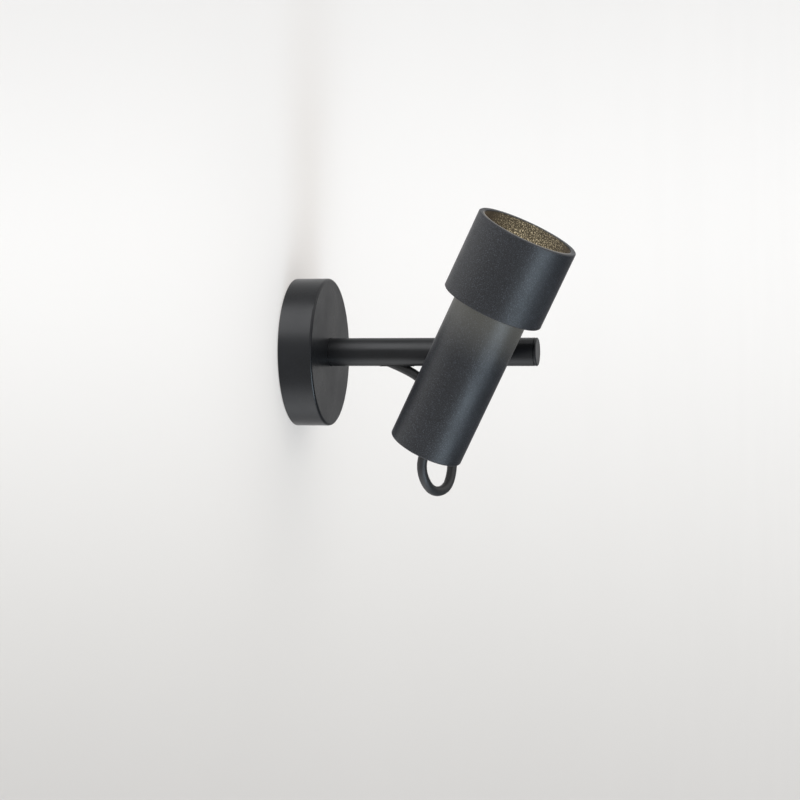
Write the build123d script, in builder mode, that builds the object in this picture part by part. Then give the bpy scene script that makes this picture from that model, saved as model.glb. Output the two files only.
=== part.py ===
from build123d import *
import os
from math import cos, pi, radians, sin, sqrt, tan

# Pivoting spotlight wall light.
#
# The origin is the centre of the rose's back face, on the wall. +X points out of the wall along
# the arm, +Z is up, and the head hangs beside the arm on the -Y side. All sizes are millimetres.
# A round rose carries a tube that swivels about its own axis. A cylindrical head with a wide open
# ring round its lamp tilts about a cross bolt in the tube, and a flex loops from the tube's
# underside into the head's tail.

os.makedirs("parts", exist_ok=True)

# ---------------------------------------------------------------- driving dimensions

# rose
rose_radius = 50.0
rose_depth = 23.0
rose_wall = 2.0
rose_edge_radius = 1.6
arm_hole_gap = 0.25
screw_wall_gap = 0.5
plate_thickness = 2.5
plate_edge_gap = 2.0
wall_slot_pitch = 60.0
wall_slot_length = 14.0
wall_slot_width = 5.2
supply_hole_radius = 7.0
supply_hole_place = (22.0, -22.0)

# lugs that hold the cover, and its set screw
lug_width = 12.0
lug_thickness = 2.0
lug_height = 14.0
lug_gap = 0.7
hook_depth = 1.3
hook_width = 3.0
hook_base = 7.5
hook_gap = 0.4
cover_screw_radius = 2.0
cover_screw_height = 8.5
cover_screw_length = 6.0
cover_screw_sunk = 0.3

# clearances, edges and screw drives that several pieces share
running_gap = 0.05
seat_gap = 0.05
tapped_gap = 0.03
cut_margin = 1.0
turned_edge = 1.0
screw_head_taper = 12.0
recess_length = 3.6
recess_width = 0.9
recess_depth = 1.2

# swivel of the arm in the rose
bridge_thickness = 2.5
bridge_width = 26.0
bridge_length = 70.0
bridge_foot = 14.0
bridge_bend_radius = 3.0
bridge_screw_radius = 2.0
bridge_screw_head_radius = 3.8
bridge_screw_head_height = 2.6
bush_wall = 1.5
bush_flange_radius = 10.0
bush_flange_thickness = 1.0
swivel_shank_radius = 6.0
swivel_flange_radius = 11.0
swivel_flange_thickness = 2.0
swivel_flange_gap = 1.0
swivel_washer_thickness = 0.8
swivel_spring_thickness = 0.8
swivel_spring_rise = 0.6
swivel_nut_thickness = 5.0
swivel_nut_flats = 17.0
swivel_tail = 1.0
spigot_plug_length = 16.0
spigot_bore_radius = 3.8
stop_pin_radius = 1.25
stop_pin_radial_offset = 13.0
stop_pin_reach = 2.4
stop_lug_reach = 14.5
stop_lug_width = 5.0

# terminals
terminal_size = (16.0, 11.0, 13.0)
terminal_offset = 34.0
terminal_edge = 1.0
terminal_screw_radius = 1.9
terminal_screw_height = 3.25
terminal_well_gap = 0.2
terminal_slot_depth = 0.8
terminal_wire_radius = 1.6
terminal_wire_height = 3.25
terminal_pitch = 8.0
terminal_fixing_radius = 1.25
terminal_fixing_head_radius = 2.2
terminal_fixing_head_height = 1.6
earth_place = (-22.0, -22.0)
earth_head_radius = 3.8
earth_head_height = 2.6

# arm
arm_radius = 9.5
arm_wall = 1.5
arm_end = 165.5
pivot_from_end = 40.1
end_plug_flange = 3.0
end_plug_length = 10.0
end_plug_groove = 0.35
end_plug_edge = 0.5

# cable slot and grommet in the arm's underside
grommet_centre = 68.8
grommet_length = 24.0
grommet_width = 9.4
grommet_lip = 1.2
grommet_lip_thickness = 1.2
grommet_proud = 0.25

# tilting pivot
arm_to_body = 10.0
boss_radius = 9.0
boss_reach = 5.5
boss_spigot_radius = 6.0
boss_spigot_depth = 2.6
tilt_washer_thickness = 0.6
tilt_washer_radius = 6.2
pivot_bolt_radius = 4.0
pivot_thread_radius = 3.0
pivot_bolt_head_radius = 6.5
pivot_bolt_head_height = 4.0
pivot_hex_flats = 5.0
pivot_hex_depth = 2.7
pivot_bolt_tail = 0.6
slug_length = 26.0
slug_pocket_start = 1.2
spring_radius = 4.85
spring_thickness = 0.6
spring_rise = 0.3
pivot_nut_flats = 10.0
pivot_nut_thickness = 4.4
stop_slot_radius = 7.35
tilt_pin_radius = 0.8
tilt_pin_depth = 1.5
tilt_stop_slack = 0.1
inner_saddle_radius = 8.0
inner_saddle_thickness = 3.0

# head
head_tilt = 27.0
tilt_back = 27.0
tilt_out = 63.0
body_radius = 25.0
body_wall = 2.0
body_bottom = -63.4
body_edge_radius = 1.2
tail_recess = 1.0
tail_cap_thickness = 5.0
tail_screw_radius = 1.5
tail_screw_length = 5.5
tail_screw_sunk = 0.4
grip_shank_radius = 5.0
grip_flange_radius = 7.0
grip_flange_height = 3.0
grip_mouth_radius = 1.2
grip_shank_length = 9.0
grip_nut_flats = 14.0
grip_nut_thickness = 4.0

# ring and its carrier
shade_overhang = 9.0
shade_wall = 4.0
shade_bottom = 41.8
shade_top = 95.9
shade_edge = 0.6
tube_overlap = 13.0
spider_wall = 1.5
spider_spigot_depth = 5.0
spider_thickness = 3.0
spider_arm_count = 3
spider_arm_width = 8.0
spider_first_arm = 90.0
spider_tab_rise = 5.0
spider_tab_thickness = 2.0
shade_screw_radius = 1.5
shade_screw_head_radius = 2.75
shade_screw_head_height = 1.8
shade_screw_bite = 2.6
shade_screw_tip_gap = 0.4
shade_hex_flats = 2.0
shade_hex_depth = 1.2

# lamp and its holder
lamp_air_gap = 5.0
lamp_depth = 22.0
lamp_rim_height = 4.4
lamp_lens_thickness = 1.4
lamp_lens_edge = 1.5
lamp_lens_sunk = 0.3
lamp_rim_step = 0.6
lamp_wall = 1.6
lamp_flare_start = (0.75, 1.0)
lamp_flare_end = (0.25, 1.0)
lamp_turn = 50.0
lamp_base_height = 13.3
lamp_length = 46.2
lamp_pin_pitch = 10.0
lamp_pin_radius = 2.5
lamp_pin_neck_radius = 1.5
lamp_pin_length = 7.5
lamp_pin_head = 3.8
holder_radius = 14.5
holder_height = 17.0
holder_edge = 1.0
holder_socket_gap = 0.3
holder_lamp_gap = 0.2
bracket_thickness = 1.5
bracket_width = 20.0
bracket_drop = 8.5
bracket_reach = 36.0
bracket_bend_radius = 2.0
holder_screw_offset = 9.0
holder_screw_radius = 1.5
holder_screw_head_radius = 2.75
holder_screw_head_height = 2.0
holder_screw_bite = 6.5

# leads inside the head
lead_radius = 0.9
lead_start = 1.3
lead_rise = 10.0
lead_belly = 7.0
lead_spread = 2.5
lead_bite = 3.0
lead_end_gap = 0.5
lead_hole_radius = 4.0
lead_bend_radius = 12.0

# flex
cord_radius = 3.3
cord_gap = 0.05
bend_share = 0.45

# Route of the free flex: it leaves the grommet, passes down behind the head, turns round its loop
# and comes up into the tail. Its corners are placed from the grommet, from the pivot and, for the
# last two, by their stations on the head's axis.
cord_from_grommet = [(-15.6, 0.0, -2.72), (2.93, 0.0, -9.92)]
cord_from_pivot = [
    (-38.61, 0.0, -19.13),
    (-27.48, 0.0, -33.12),
    (-21.4, -0.5, -47.0),
    (-20.71, -1.5, -61.83),
    (-20.0, -3.2, -79.6),
    (-21.8, -15.5, -91.24),
    (-28.47, -32.5, -89.4),
    (-32.29, -44.0, -75.14),
]
cord_turn_station = -69.0
cord_end_station = -56.57

# Route of the flex inside the arm, up to the start of the free flex.
lead_first_x = 12.0
lead_corner_from_grommet = -22.6

# Routes of the three leads from the flex's inner end: two to the terminals, one to the earth screw.
# They start on a small circle round the flex's axis and spread once they are behind the bridge.
rose_lead_circle = 1.5
rose_lead_fan = 40.0
rose_lead_turn_depth = 4.2
rose_lead_run = 22.0
rose_lead_stop = 2.0
earth_lead_depth = 3.8
earth_lead_run = 17.0
earth_lead_stop = 3.85

# ---------------------------------------------------------------- places worked out from them

arm_bore = arm_radius - arm_wall
cover_inside = rose_depth - rose_wall
flange_front = cover_inside - swivel_flange_gap
flange_back = flange_front - swivel_flange_thickness
web_front = flange_back - swivel_washer_thickness
web_back = web_front - bridge_thickness
bush_radius = swivel_shank_radius + running_gap + bush_wall
bush_back = web_back - bush_flange_thickness
spring_back = bush_back - swivel_spring_thickness - swivel_spring_rise
swivel_nut_back = spring_back - swivel_nut_thickness
foot_centre = (bridge_length - bridge_foot) / 2
bridge_riser = bridge_length / 2 - bridge_foot

pivot_x = arm_end - pivot_from_end
head_offset = arm_radius + arm_to_body + body_radius
boss_face = -(arm_radius + boss_reach)
washer_face = boss_face - tilt_washer_thickness
body_bore = body_radius - body_wall
bore_face = -head_offset + body_bore
saddle_face = bore_face - inner_saddle_thickness
bracket_face = saddle_face - bracket_thickness
slug_radius = arm_bore - seat_gap
nut_start = 2 * (spring_thickness + spring_rise) - slug_pocket_start + 2 * seat_gap

tube_top = shade_bottom + tube_overlap
shade_radius = body_radius + shade_overhang
shade_bore = shade_radius - shade_wall
lamp_radius = shade_bore - lamp_air_gap
lamp_lens_radius = lamp_radius - lamp_lens_edge
lamp_base_radius = lamp_radius / 2
spider_top = tube_top + spider_thickness
lamp_front = shade_top - lamp_depth
lamp_bottom = lamp_front - lamp_length
holder_top = lamp_bottom - holder_lamp_gap
holder_bottom = holder_top - holder_height
cap_bottom = body_bottom + tail_recess
cap_top = cap_bottom + tail_cap_thickness
cap_middle = (cap_bottom + cap_top) / 2

tilt = radians(head_tilt)
head_centre = (pivot_x, -head_offset, 0.0)
head_out = (cos(tilt), 0.0, -sin(tilt))
head_up = (sin(tilt), 0.0, cos(tilt))

# Sketch planes. A section plane holds its axis as local y or x, and a cross plane is square to it.
arm_section = Plane.XZ
arm_cross = Plane.YZ
pivot_section = Plane(origin=(pivot_x, 0, 0), x_dir=(1, 0, 0), z_dir=(0, 0, 1))
pivot_axis = Axis((pivot_x, 0, 0), (0, 1, 0))
pivot_cross = Plane(origin=(pivot_x, 0, 0), x_dir=(1, 0, 0), z_dir=(0, -1, 0))
head_section = Plane(origin=head_centre, x_dir=head_out, z_dir=(0, -1, 0))
head_axis = Axis(head_centre, head_up)
head_cross = Plane(origin=head_centre, x_dir=head_out, z_dir=head_up)

# The terminal block's foot, on the plate's diagonal.
terminal_side = terminal_offset / sqrt(2)
terminal_base = Plane(
    origin=(plate_thickness, terminal_side, terminal_side),
    x_dir=(0, -1, 1),
    z_dir=(1, 0, 0),
)


def head_point(out, across, station):
    """A point of the head from its own axes: out from the wall side, across, along its axis."""
    return (
        head_centre[0] + out * head_out[0] + station * head_up[0],
        head_centre[1] + across,
        head_centre[2] + out * head_out[2] + station * head_up[2],
    )


def radial_plane(station, angle, radius):
    """A plane square to the head's radius at an angle, facing outwards."""
    base = head_cross.offset(station)
    outward = base.x_dir * cos(radians(angle)) + base.y_dir * sin(radians(angle))
    return Plane(origin=base.origin + outward * radius, x_dir=base.z_dir, z_dir=outward)


def bend_radii(points, share):
    """The largest arcs that a route's runs allow, one for each corner."""
    radii = []
    for before, corner, after in zip(points, points[1:], points[2:]):
        run_in = Vector(corner) - Vector(before)
        run_out = Vector(after) - Vector(corner)
        turn = radians(run_in.get_angle(run_out))
        radii.append(share * min(run_in.length, run_out.length) / tan(turn / 2))
    return radii


def rose_point(depth, along, across):
    """A point in the rose from the diagonal that the terminals and the earth screw stand on."""
    return (depth, (along - across) / sqrt(2), (along + across) / sqrt(2))


def cross_recess():
    """The outline of a cross-shaped screw drive."""
    Rectangle(recess_length, recess_width)
    Rectangle(recess_width, recess_length)


# ---------------------------------------------------------------- rose

# Deep pan with a small rolled front edge, a hole for the arm, a pocket for the hook of the plate's
# upper lug and a hole for the set screw below.
with BuildPart() as rose_cover:
    with BuildSketch(arm_cross):
        Circle(rose_radius)
    extrude(amount=rose_depth)
    fillet(rose_cover.edges().group_by(Axis.X)[-1], rose_edge_radius)
    offset(amount=-rose_wall, openings=rose_cover.faces().sort_by(Axis.X)[0])
    with BuildSketch(arm_cross.offset(rose_depth)):
        Circle(arm_radius + arm_hole_gap)
    extrude(amount=-2 * rose_wall, mode=Mode.SUBTRACT)
    with BuildSketch(arm_cross.offset(hook_base - hook_gap)):
        with Locations((0, rose_radius - rose_wall)):
            Rectangle(lug_width + 2 * hook_gap, 2 * (hook_depth + hook_gap - lug_gap))
    extrude(amount=hook_width + 2 * hook_gap, mode=Mode.SUBTRACT)
    with BuildSketch(Plane.XY.offset(-rose_radius - cut_margin)):
        with Locations((cover_screw_height, 0)):
            Circle(cover_screw_radius + running_gap)
    extrude(amount=2 * rose_wall, mode=Mode.SUBTRACT)
rose_cover.part.label = "rose_cover"
export_step(rose_cover.part, "parts/rose_cover.step")

# Pressed plate against the wall, with two slots for the wall screws, a hole for the supply cable,
# and two lugs bent forward at its edge.
plate_radius = rose_radius - rose_wall - plate_edge_gap
lug_outside = rose_radius - rose_wall - lug_gap
lug_middle = lug_outside - lug_thickness / 2
with BuildPart() as back_plate:
    with BuildSketch(arm_cross):
        Circle(plate_radius)
        with GridLocations(wall_slot_pitch, 0, 2, 1):
            SlotOverall(wall_slot_length, wall_slot_width, mode=Mode.SUBTRACT)
        with Locations(supply_hole_place):
            Circle(supply_hole_radius, mode=Mode.SUBTRACT)
        with Locations((0, foot_centre), (0, -foot_centre), earth_place):
            Circle(bridge_screw_radius + tapped_gap, mode=Mode.SUBTRACT)
        with Locations(terminal_base.origin.to_tuple()[1:]):
            Circle(terminal_fixing_radius + tapped_gap, mode=Mode.SUBTRACT)
        with GridLocations(0, 2 * lug_outside - lug_width, 1, 2):
            Rectangle(lug_width, lug_width)
    extrude(amount=plate_thickness)
    with BuildSketch(arm_cross):
        with Locations((0, lug_middle), (0, -lug_middle)):
            Rectangle(lug_width, lug_thickness)
    extrude(amount=lug_height)
    with BuildSketch(arm_cross.offset(hook_base)):
        with Locations((0, lug_outside + hook_depth / 2)):
            Rectangle(lug_width, hook_depth)
    extrude(amount=hook_width)
    with BuildSketch(Plane.XY.offset(-lug_outside - cut_margin)):
        with Locations((cover_screw_height, 0)):
            Circle(cover_screw_radius + tapped_gap)
    extrude(amount=2 * lug_thickness, mode=Mode.SUBTRACT)
back_plate.part.label = "back_plate"
export_step(back_plate.part, "parts/back_plate.step")

# Set screw that holds the cover on the lower lug.
with BuildPart() as cover_screw:
    with BuildSketch(Plane.XY.offset(cover_screw_sunk - rose_radius)):
        with Locations((cover_screw_height, 0)):
            Circle(cover_screw_radius)
    extrude(amount=cover_screw_length)
    with BuildSketch(Plane.XY.offset(cover_screw_sunk - rose_radius)):
        with Locations((cover_screw_height, 0)):
            RegularPolygon(cover_screw_radius / 2, 6)
    extrude(amount=cover_screw_radius, mode=Mode.SUBTRACT)
cover_screw.part.label = "cover_screw"
export_step(cover_screw.part, "parts/cover_screw.step")

# Folded strap across the plate. Its raised web holds the bush that the arm turns in.
with BuildPart() as swivel_bridge:
    with BuildLine(Plane.XZ.offset(bridge_width / 2)):
        FilletPolyline(
            (plate_thickness, -bridge_length / 2),
            (plate_thickness, -bridge_riser),
            (web_back, -bridge_riser),
            (web_back, bridge_riser),
            (plate_thickness, bridge_riser),
            (plate_thickness, bridge_length / 2),
            radius=bridge_bend_radius,
        )
    make_brake_formed(bridge_thickness, bridge_width)
    with BuildSketch(arm_cross.offset(web_front)):
        Circle(bush_radius + running_gap)
        with Locations((0, stop_pin_radial_offset)):
            Circle(stop_pin_radius + tapped_gap)
    extrude(amount=-2 * bridge_thickness, mode=Mode.SUBTRACT)
    with BuildSketch(arm_cross.offset(plate_thickness)):
        with Locations((0, foot_centre), (0, -foot_centre)):
            Circle(bridge_screw_radius + running_gap)
    extrude(amount=bridge_thickness, mode=Mode.SUBTRACT)
swivel_bridge.part.label = "swivel_bridge"
export_step(swivel_bridge.part, "parts/swivel_bridge.step")

# Two screws through the strap's feet into the plate.
with BuildPart() as bridge_screws:
    with BuildSketch(arm_cross.offset(screw_wall_gap)):
        with Locations((0, foot_centre), (0, -foot_centre)):
            Circle(bridge_screw_radius)
    extrude(amount=plate_thickness + bridge_thickness - screw_wall_gap)
    with BuildSketch(arm_cross.offset(plate_thickness + bridge_thickness)):
        with Locations((0, foot_centre), (0, -foot_centre)):
            Circle(bridge_screw_head_radius)
    extrude(amount=bridge_screw_head_height, taper=screw_head_taper)
    bridge_head_top = plate_thickness + bridge_thickness + bridge_screw_head_height
    with BuildSketch(arm_cross.offset(bridge_head_top)):
        with Locations((0, foot_centre), (0, -foot_centre)):
            cross_recess()
    extrude(amount=-recess_depth, mode=Mode.SUBTRACT)
bridge_screws.part.label = "bridge_screws"
export_step(bridge_screws.part, "parts/bridge_screws.step")

# Flanged bush, its flange behind the web.
with BuildPart() as swivel_bush:
    with BuildSketch(arm_cross.offset(web_front)):
        Circle(bush_radius)
    extrude(amount=-bridge_thickness)
    with BuildSketch(arm_cross.offset(bush_back)):
        Circle(bush_flange_radius)
    extrude(amount=bush_flange_thickness)
    with BuildSketch(arm_cross.offset(web_front)):
        Circle(swivel_shank_radius + running_gap)
    extrude(amount=bush_back - web_front, mode=Mode.SUBTRACT)
swivel_bush.part.label = "swivel_bush"
export_step(swivel_bush.part, "parts/swivel_bush.step")

# Pin in the web that the spigot's lug meets at each end of the arm's turn.
with BuildPart() as swivel_stop_pin:
    with BuildSketch(arm_cross.offset(web_back)):
        with Locations((0, stop_pin_radial_offset)):
            Circle(stop_pin_radius)
    extrude(amount=bridge_thickness + stop_pin_reach)
swivel_stop_pin.part.label = "swivel_stop_pin"
export_step(swivel_stop_pin.part, "parts/swivel_stop_pin.step")

# Nylon washer between the web and the spigot's flange.
with BuildPart() as swivel_friction_washer:
    with BuildSketch(arm_cross.offset(web_front)):
        Circle(swivel_flange_radius)
        Circle(swivel_shank_radius + running_gap, mode=Mode.SUBTRACT)
    extrude(amount=swivel_washer_thickness)
swivel_friction_washer.part.label = "swivel_friction_washer"
export_step(swivel_friction_washer.part, "parts/swivel_friction_washer.step")

# Two-pole terminal block, turned to stand along the plate's edge, with wire holes through it, a
# screw well over each and a fixing hole in its middle.
with BuildPart() as terminal_block:
    with BuildSketch(terminal_base):
        RectangleRounded(terminal_size[0], terminal_size[1], terminal_edge)
    extrude(amount=terminal_size[2])
    with BuildSketch(terminal_base.offset(terminal_size[2])):
        with GridLocations(terminal_pitch, terminal_size[1] / 2, 2, 2):
            Circle(terminal_screw_radius + terminal_well_gap)
    extrude(amount=-terminal_size[2] / 2, mode=Mode.SUBTRACT)
    wire_plane = Plane(
        origin=terminal_base.origin + terminal_base.z_dir * terminal_wire_height,
        x_dir=terminal_base.x_dir,
        z_dir=terminal_base.y_dir,
    )
    with BuildSketch(wire_plane):
        with GridLocations(terminal_pitch, 0, 2, 1):
            Circle(terminal_wire_radius)
    extrude(amount=terminal_size[1], both=True, mode=Mode.SUBTRACT)
    with BuildSketch(terminal_base):
        Circle(terminal_fixing_radius + running_gap)
    extrude(amount=terminal_size[2], mode=Mode.SUBTRACT)
terminal_block.part.label = "terminal_block"
export_step(terminal_block.part, "parts/terminal_block.step")

# Its four slotted clamping screws, in the wells.
with BuildPart() as terminal_screws:
    with BuildSketch(terminal_base.offset(terminal_size[2] / 2)):
        with GridLocations(terminal_pitch, terminal_size[1] / 2, 2, 2):
            Circle(terminal_screw_radius)
    extrude(amount=terminal_screw_height)
    with BuildSketch(terminal_base.offset(terminal_size[2] / 2 + terminal_screw_height)):
        with GridLocations(terminal_pitch, terminal_size[1] / 2, 2, 2):
            Rectangle(2 * terminal_screw_radius, recess_width)
    extrude(amount=-terminal_slot_depth, mode=Mode.SUBTRACT)
terminal_screws.part.label = "terminal_screws"
export_step(terminal_screws.part, "parts/terminal_screws.step")

# The long screw that holds the block on the plate.
with BuildPart() as terminal_fixing_screw:
    with BuildSketch(terminal_base.offset(screw_wall_gap - plate_thickness)):
        Circle(terminal_fixing_radius)
    extrude(amount=plate_thickness + terminal_size[2] - screw_wall_gap)
    with BuildSketch(terminal_base.offset(terminal_size[2])):
        Circle(terminal_fixing_head_radius)
    extrude(amount=terminal_fixing_head_height, taper=screw_head_taper)
    with BuildSketch(terminal_base.offset(terminal_size[2] + terminal_fixing_head_height)):
        Rectangle(2 * terminal_fixing_head_radius, recess_width)
    extrude(amount=-terminal_slot_depth, mode=Mode.SUBTRACT)
terminal_fixing_screw.part.label = "terminal_fixing_screw"
export_step(terminal_fixing_screw.part, "parts/terminal_fixing_screw.step")

# Earth screw in the plate.
with BuildPart() as earth_screw:
    with BuildSketch(arm_cross.offset(screw_wall_gap)):
        with Locations(earth_place):
            Circle(bridge_screw_radius)
    extrude(amount=plate_thickness - screw_wall_gap)
    with BuildSketch(arm_cross.offset(plate_thickness)):
        with Locations(earth_place):
            Circle(earth_head_radius)
    extrude(amount=earth_head_height, taper=screw_head_taper)
    with BuildSketch(arm_cross.offset(plate_thickness + earth_head_height)):
        with Locations(earth_place):
            cross_recess()
    extrude(amount=-recess_depth, mode=Mode.SUBTRACT)
earth_screw.part.label = "earth_screw"
export_step(earth_screw.part, "parts/earth_screw.step")

# ---------------------------------------------------------------- arm

# Hollow spigot: its shank turns in the bush, its flange takes the thrust and carries the stop
# lug, and its plug holds the tube.
with BuildPart() as swivel_spigot:
    with BuildSketch(arm_section):
        with BuildLine():
            Polyline(
                (swivel_nut_back - swivel_tail, spigot_bore_radius),
                (swivel_nut_back - swivel_tail, swivel_shank_radius),
                (flange_back, swivel_shank_radius),
                (flange_back, swivel_flange_radius),
                (flange_front, swivel_flange_radius),
                (flange_front, arm_bore - seat_gap),
                (flange_front + spigot_plug_length - turned_edge, arm_bore - seat_gap),
                (flange_front + spigot_plug_length, arm_bore - seat_gap - turned_edge),
                (flange_front + spigot_plug_length, spigot_bore_radius),
                close=True,
            )
        make_face()
    revolve(axis=Axis.X)
    with BuildSketch(arm_cross.offset(flange_back)):
        with Locations((0, -(swivel_shank_radius + stop_lug_reach) / 2)):
            Rectangle(stop_lug_width, stop_lug_reach - swivel_shank_radius)
    extrude(amount=swivel_flange_thickness)
swivel_spigot.part.label = "swivel_spigot"
export_step(swivel_spigot.part, "parts/swivel_spigot.step")

# Coned spring washer behind the bush.
with BuildPart() as swivel_spring_washer:
    with BuildSketch(arm_section):
        with BuildLine():
            Polyline(
                (bush_back, bush_flange_radius),
                (bush_back - swivel_spring_thickness, bush_flange_radius),
                (spring_back, swivel_shank_radius + running_gap),
                (spring_back + swivel_spring_thickness, swivel_shank_radius + running_gap),
                close=True,
            )
        make_face()
    revolve(axis=Axis.X)
swivel_spring_washer.part.label = "swivel_spring_washer"
export_step(swivel_spring_washer.part, "parts/swivel_spring_washer.step")

# Thin nut that loads the spring washer.
with BuildPart() as swivel_nut:
    with BuildSketch(arm_cross.offset(spring_back)):
        RegularPolygon(swivel_nut_flats / 2, 6, major_radius=False)
        Circle(swivel_shank_radius + tapped_gap, mode=Mode.SUBTRACT)
    extrude(amount=-swivel_nut_thickness)
swivel_nut.part.label = "swivel_nut"
export_step(swivel_nut.part, "parts/swivel_nut.step")

# The tube, with the long cable slot below and the cross hole for the pivot boss.
tube_end = arm_end - end_plug_flange
with BuildPart() as arm_tube:
    with BuildSketch(arm_cross.offset(flange_front)):
        Circle(arm_radius)
        Circle(arm_bore, mode=Mode.SUBTRACT)
    extrude(amount=tube_end - flange_front)
    with BuildSketch(Plane.XY.offset(-arm_radius - cut_margin)):
        with Locations((grommet_centre, 0)):
            SlotOverall(grommet_length, grommet_width)
    extrude(amount=arm_radius, mode=Mode.SUBTRACT)
    with BuildSketch(pivot_cross):
        Circle(boss_spigot_radius + seat_gap)
    extrude(amount=arm_radius + cut_margin, mode=Mode.SUBTRACT)
arm_tube.part.label = "arm_tube"
export_step(arm_tube.part, "parts/arm_tube.step")

# Turned plug that closes the tube. The groove behind its flange is the fine line near the end.
with BuildPart() as arm_end_plug:
    with BuildSketch(arm_section):
        with BuildLine():
            Polyline(
                (tube_end - end_plug_length, 0),
                (tube_end - end_plug_length, arm_bore - seat_gap - turned_edge),
                (tube_end - end_plug_length + turned_edge, arm_bore - seat_gap),
                (tube_end, arm_bore - seat_gap),
                (tube_end, arm_radius - end_plug_groove),
                (tube_end + end_plug_groove, arm_radius),
                (arm_end - end_plug_edge, arm_radius),
                (arm_end, arm_radius - end_plug_edge),
                (arm_end, 0),
                close=True,
            )
        make_face()
    revolve(axis=Axis.X)
arm_end_plug.part.label = "arm_end_plug"
export_step(arm_end_plug.part, "parts/arm_end_plug.step")

# Rubber grommet: an oblong plug in the slot with a lip inside the tube. Its slanted bore follows
# the flex, which runs out through it.
cord_points = [
    *(Vector(grommet_centre, 0, 0) + Vector(corner) for corner in cord_from_grommet),
    *(Vector(pivot_x, 0, 0) + Vector(corner) for corner in cord_from_pivot),
    Vector(head_point(0, 0, cord_turn_station)),
    Vector(head_point(0, 0, cord_end_station)),
]
cord_radii = bend_radii(cord_points, bend_share)
cord_start = Plane(
    origin=cord_points[0],
    z_dir=cord_points[1] - cord_points[0],
)
lip_width = grommet_width + grommet_lip
lip_level = -sqrt((arm_bore - seat_gap) ** 2 - (lip_width / 2) ** 2)
with BuildPart() as cable_grommet:
    with BuildSketch(Plane.XY.offset(-arm_radius - 2 * grommet_proud)):
        with Locations((grommet_centre, 0)):
            SlotOverall(grommet_length - 2 * seat_gap, grommet_width - 2 * seat_gap)
    extrude(amount=arm_radius + 2 * grommet_proud + lip_level)
    with BuildSketch(arm_cross.offset(grommet_centre - grommet_length)):
        Circle(arm_radius + grommet_proud)
    extrude(amount=2 * grommet_length, mode=Mode.INTERSECT)
    with BuildSketch(Plane.XY.offset(lip_level)):
        with Locations((grommet_centre, 0)):
            SlotOverall(grommet_length + grommet_lip, lip_width)
    extrude(amount=grommet_lip_thickness)
    with BuildLine():
        FilletPolyline(*cord_points[:3], radius=cord_radii[0])
    with BuildSketch(cord_start):
        Circle(cord_radius + cord_gap)
    sweep(mode=Mode.SUBTRACT)
cable_grommet.part.label = "cable_grommet"
export_step(cable_grommet.part, "parts/cable_grommet.step")

# Slug inside the tube. The bolt turns in its cross bore, and a hexagonal pocket in its far side
# holds the disc springs and keeps the nut from turning.
with BuildPart() as pivot_slug:
    with BuildSketch(arm_cross.offset(pivot_x - slug_length / 2)):
        Circle(slug_radius)
    extrude(amount=slug_length)
    with BuildSketch(pivot_cross):
        Circle(pivot_bolt_radius + running_gap)
    extrude(amount=arm_radius, mode=Mode.SUBTRACT)
    with BuildSketch(pivot_cross.offset(arm_radius - boss_spigot_depth - seat_gap)):
        Circle(boss_spigot_radius + seat_gap)
    extrude(amount=arm_radius, mode=Mode.SUBTRACT)
    with BuildSketch(pivot_cross.offset(slug_pocket_start)):
        RegularPolygon(pivot_nut_flats / 2 + seat_gap, 6, major_radius=False)
    extrude(amount=-arm_radius, mode=Mode.SUBTRACT)
pivot_slug.part.label = "pivot_slug"
export_step(pivot_slug.part, "parts/pivot_slug.step")

# Spacer between tube and head: fish-mouthed onto the tube, keyed into its cross hole, with the
# arc slot of the tilt stop in its flat face.
with BuildPart() as pivot_boss:
    with BuildSketch(pivot_cross):
        Circle(boss_radius)
    extrude(amount=-boss_face)
    with BuildSketch(arm_cross.offset(pivot_x - arm_end)):
        Circle(arm_radius + seat_gap)
    extrude(amount=2 * arm_end, mode=Mode.SUBTRACT)
    with BuildSketch(pivot_cross.offset(arm_radius - boss_spigot_depth)):
        Circle(boss_spigot_radius)
    extrude(amount=boss_spigot_depth + boss_reach)
    with BuildSketch(pivot_cross):
        Circle(pivot_bolt_radius + running_gap)
    extrude(amount=-boss_face, mode=Mode.SUBTRACT)
    with BuildSketch(pivot_cross.offset(-boss_face)) as stop_slot:
        with BuildLine(mode=Mode.PRIVATE) as stop_arc:
            CenterArc(
                (0, 0),
                stop_slot_radius,
                90 - head_tilt - tilt_out,
                tilt_back + tilt_out,
            )
        SlotArc(stop_arc.edge(), 2 * (tilt_pin_radius + tilt_stop_slack))
    extrude(amount=-(tilt_pin_depth + tilt_stop_slack), mode=Mode.SUBTRACT)
pivot_boss.part.label = "pivot_boss"
export_step(pivot_boss.part, "parts/pivot_boss.step")

# Nylon washer that the head turns against.
with BuildPart() as tilt_friction_washer:
    with BuildSketch(pivot_cross.offset(-boss_face)):
        Circle(tilt_washer_radius)
        Circle(pivot_bolt_radius + running_gap, mode=Mode.SUBTRACT)
    extrude(amount=tilt_washer_thickness)
tilt_friction_washer.part.label = "tilt_friction_washer"
export_step(tilt_friction_washer.part, "parts/tilt_friction_washer.step")

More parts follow.
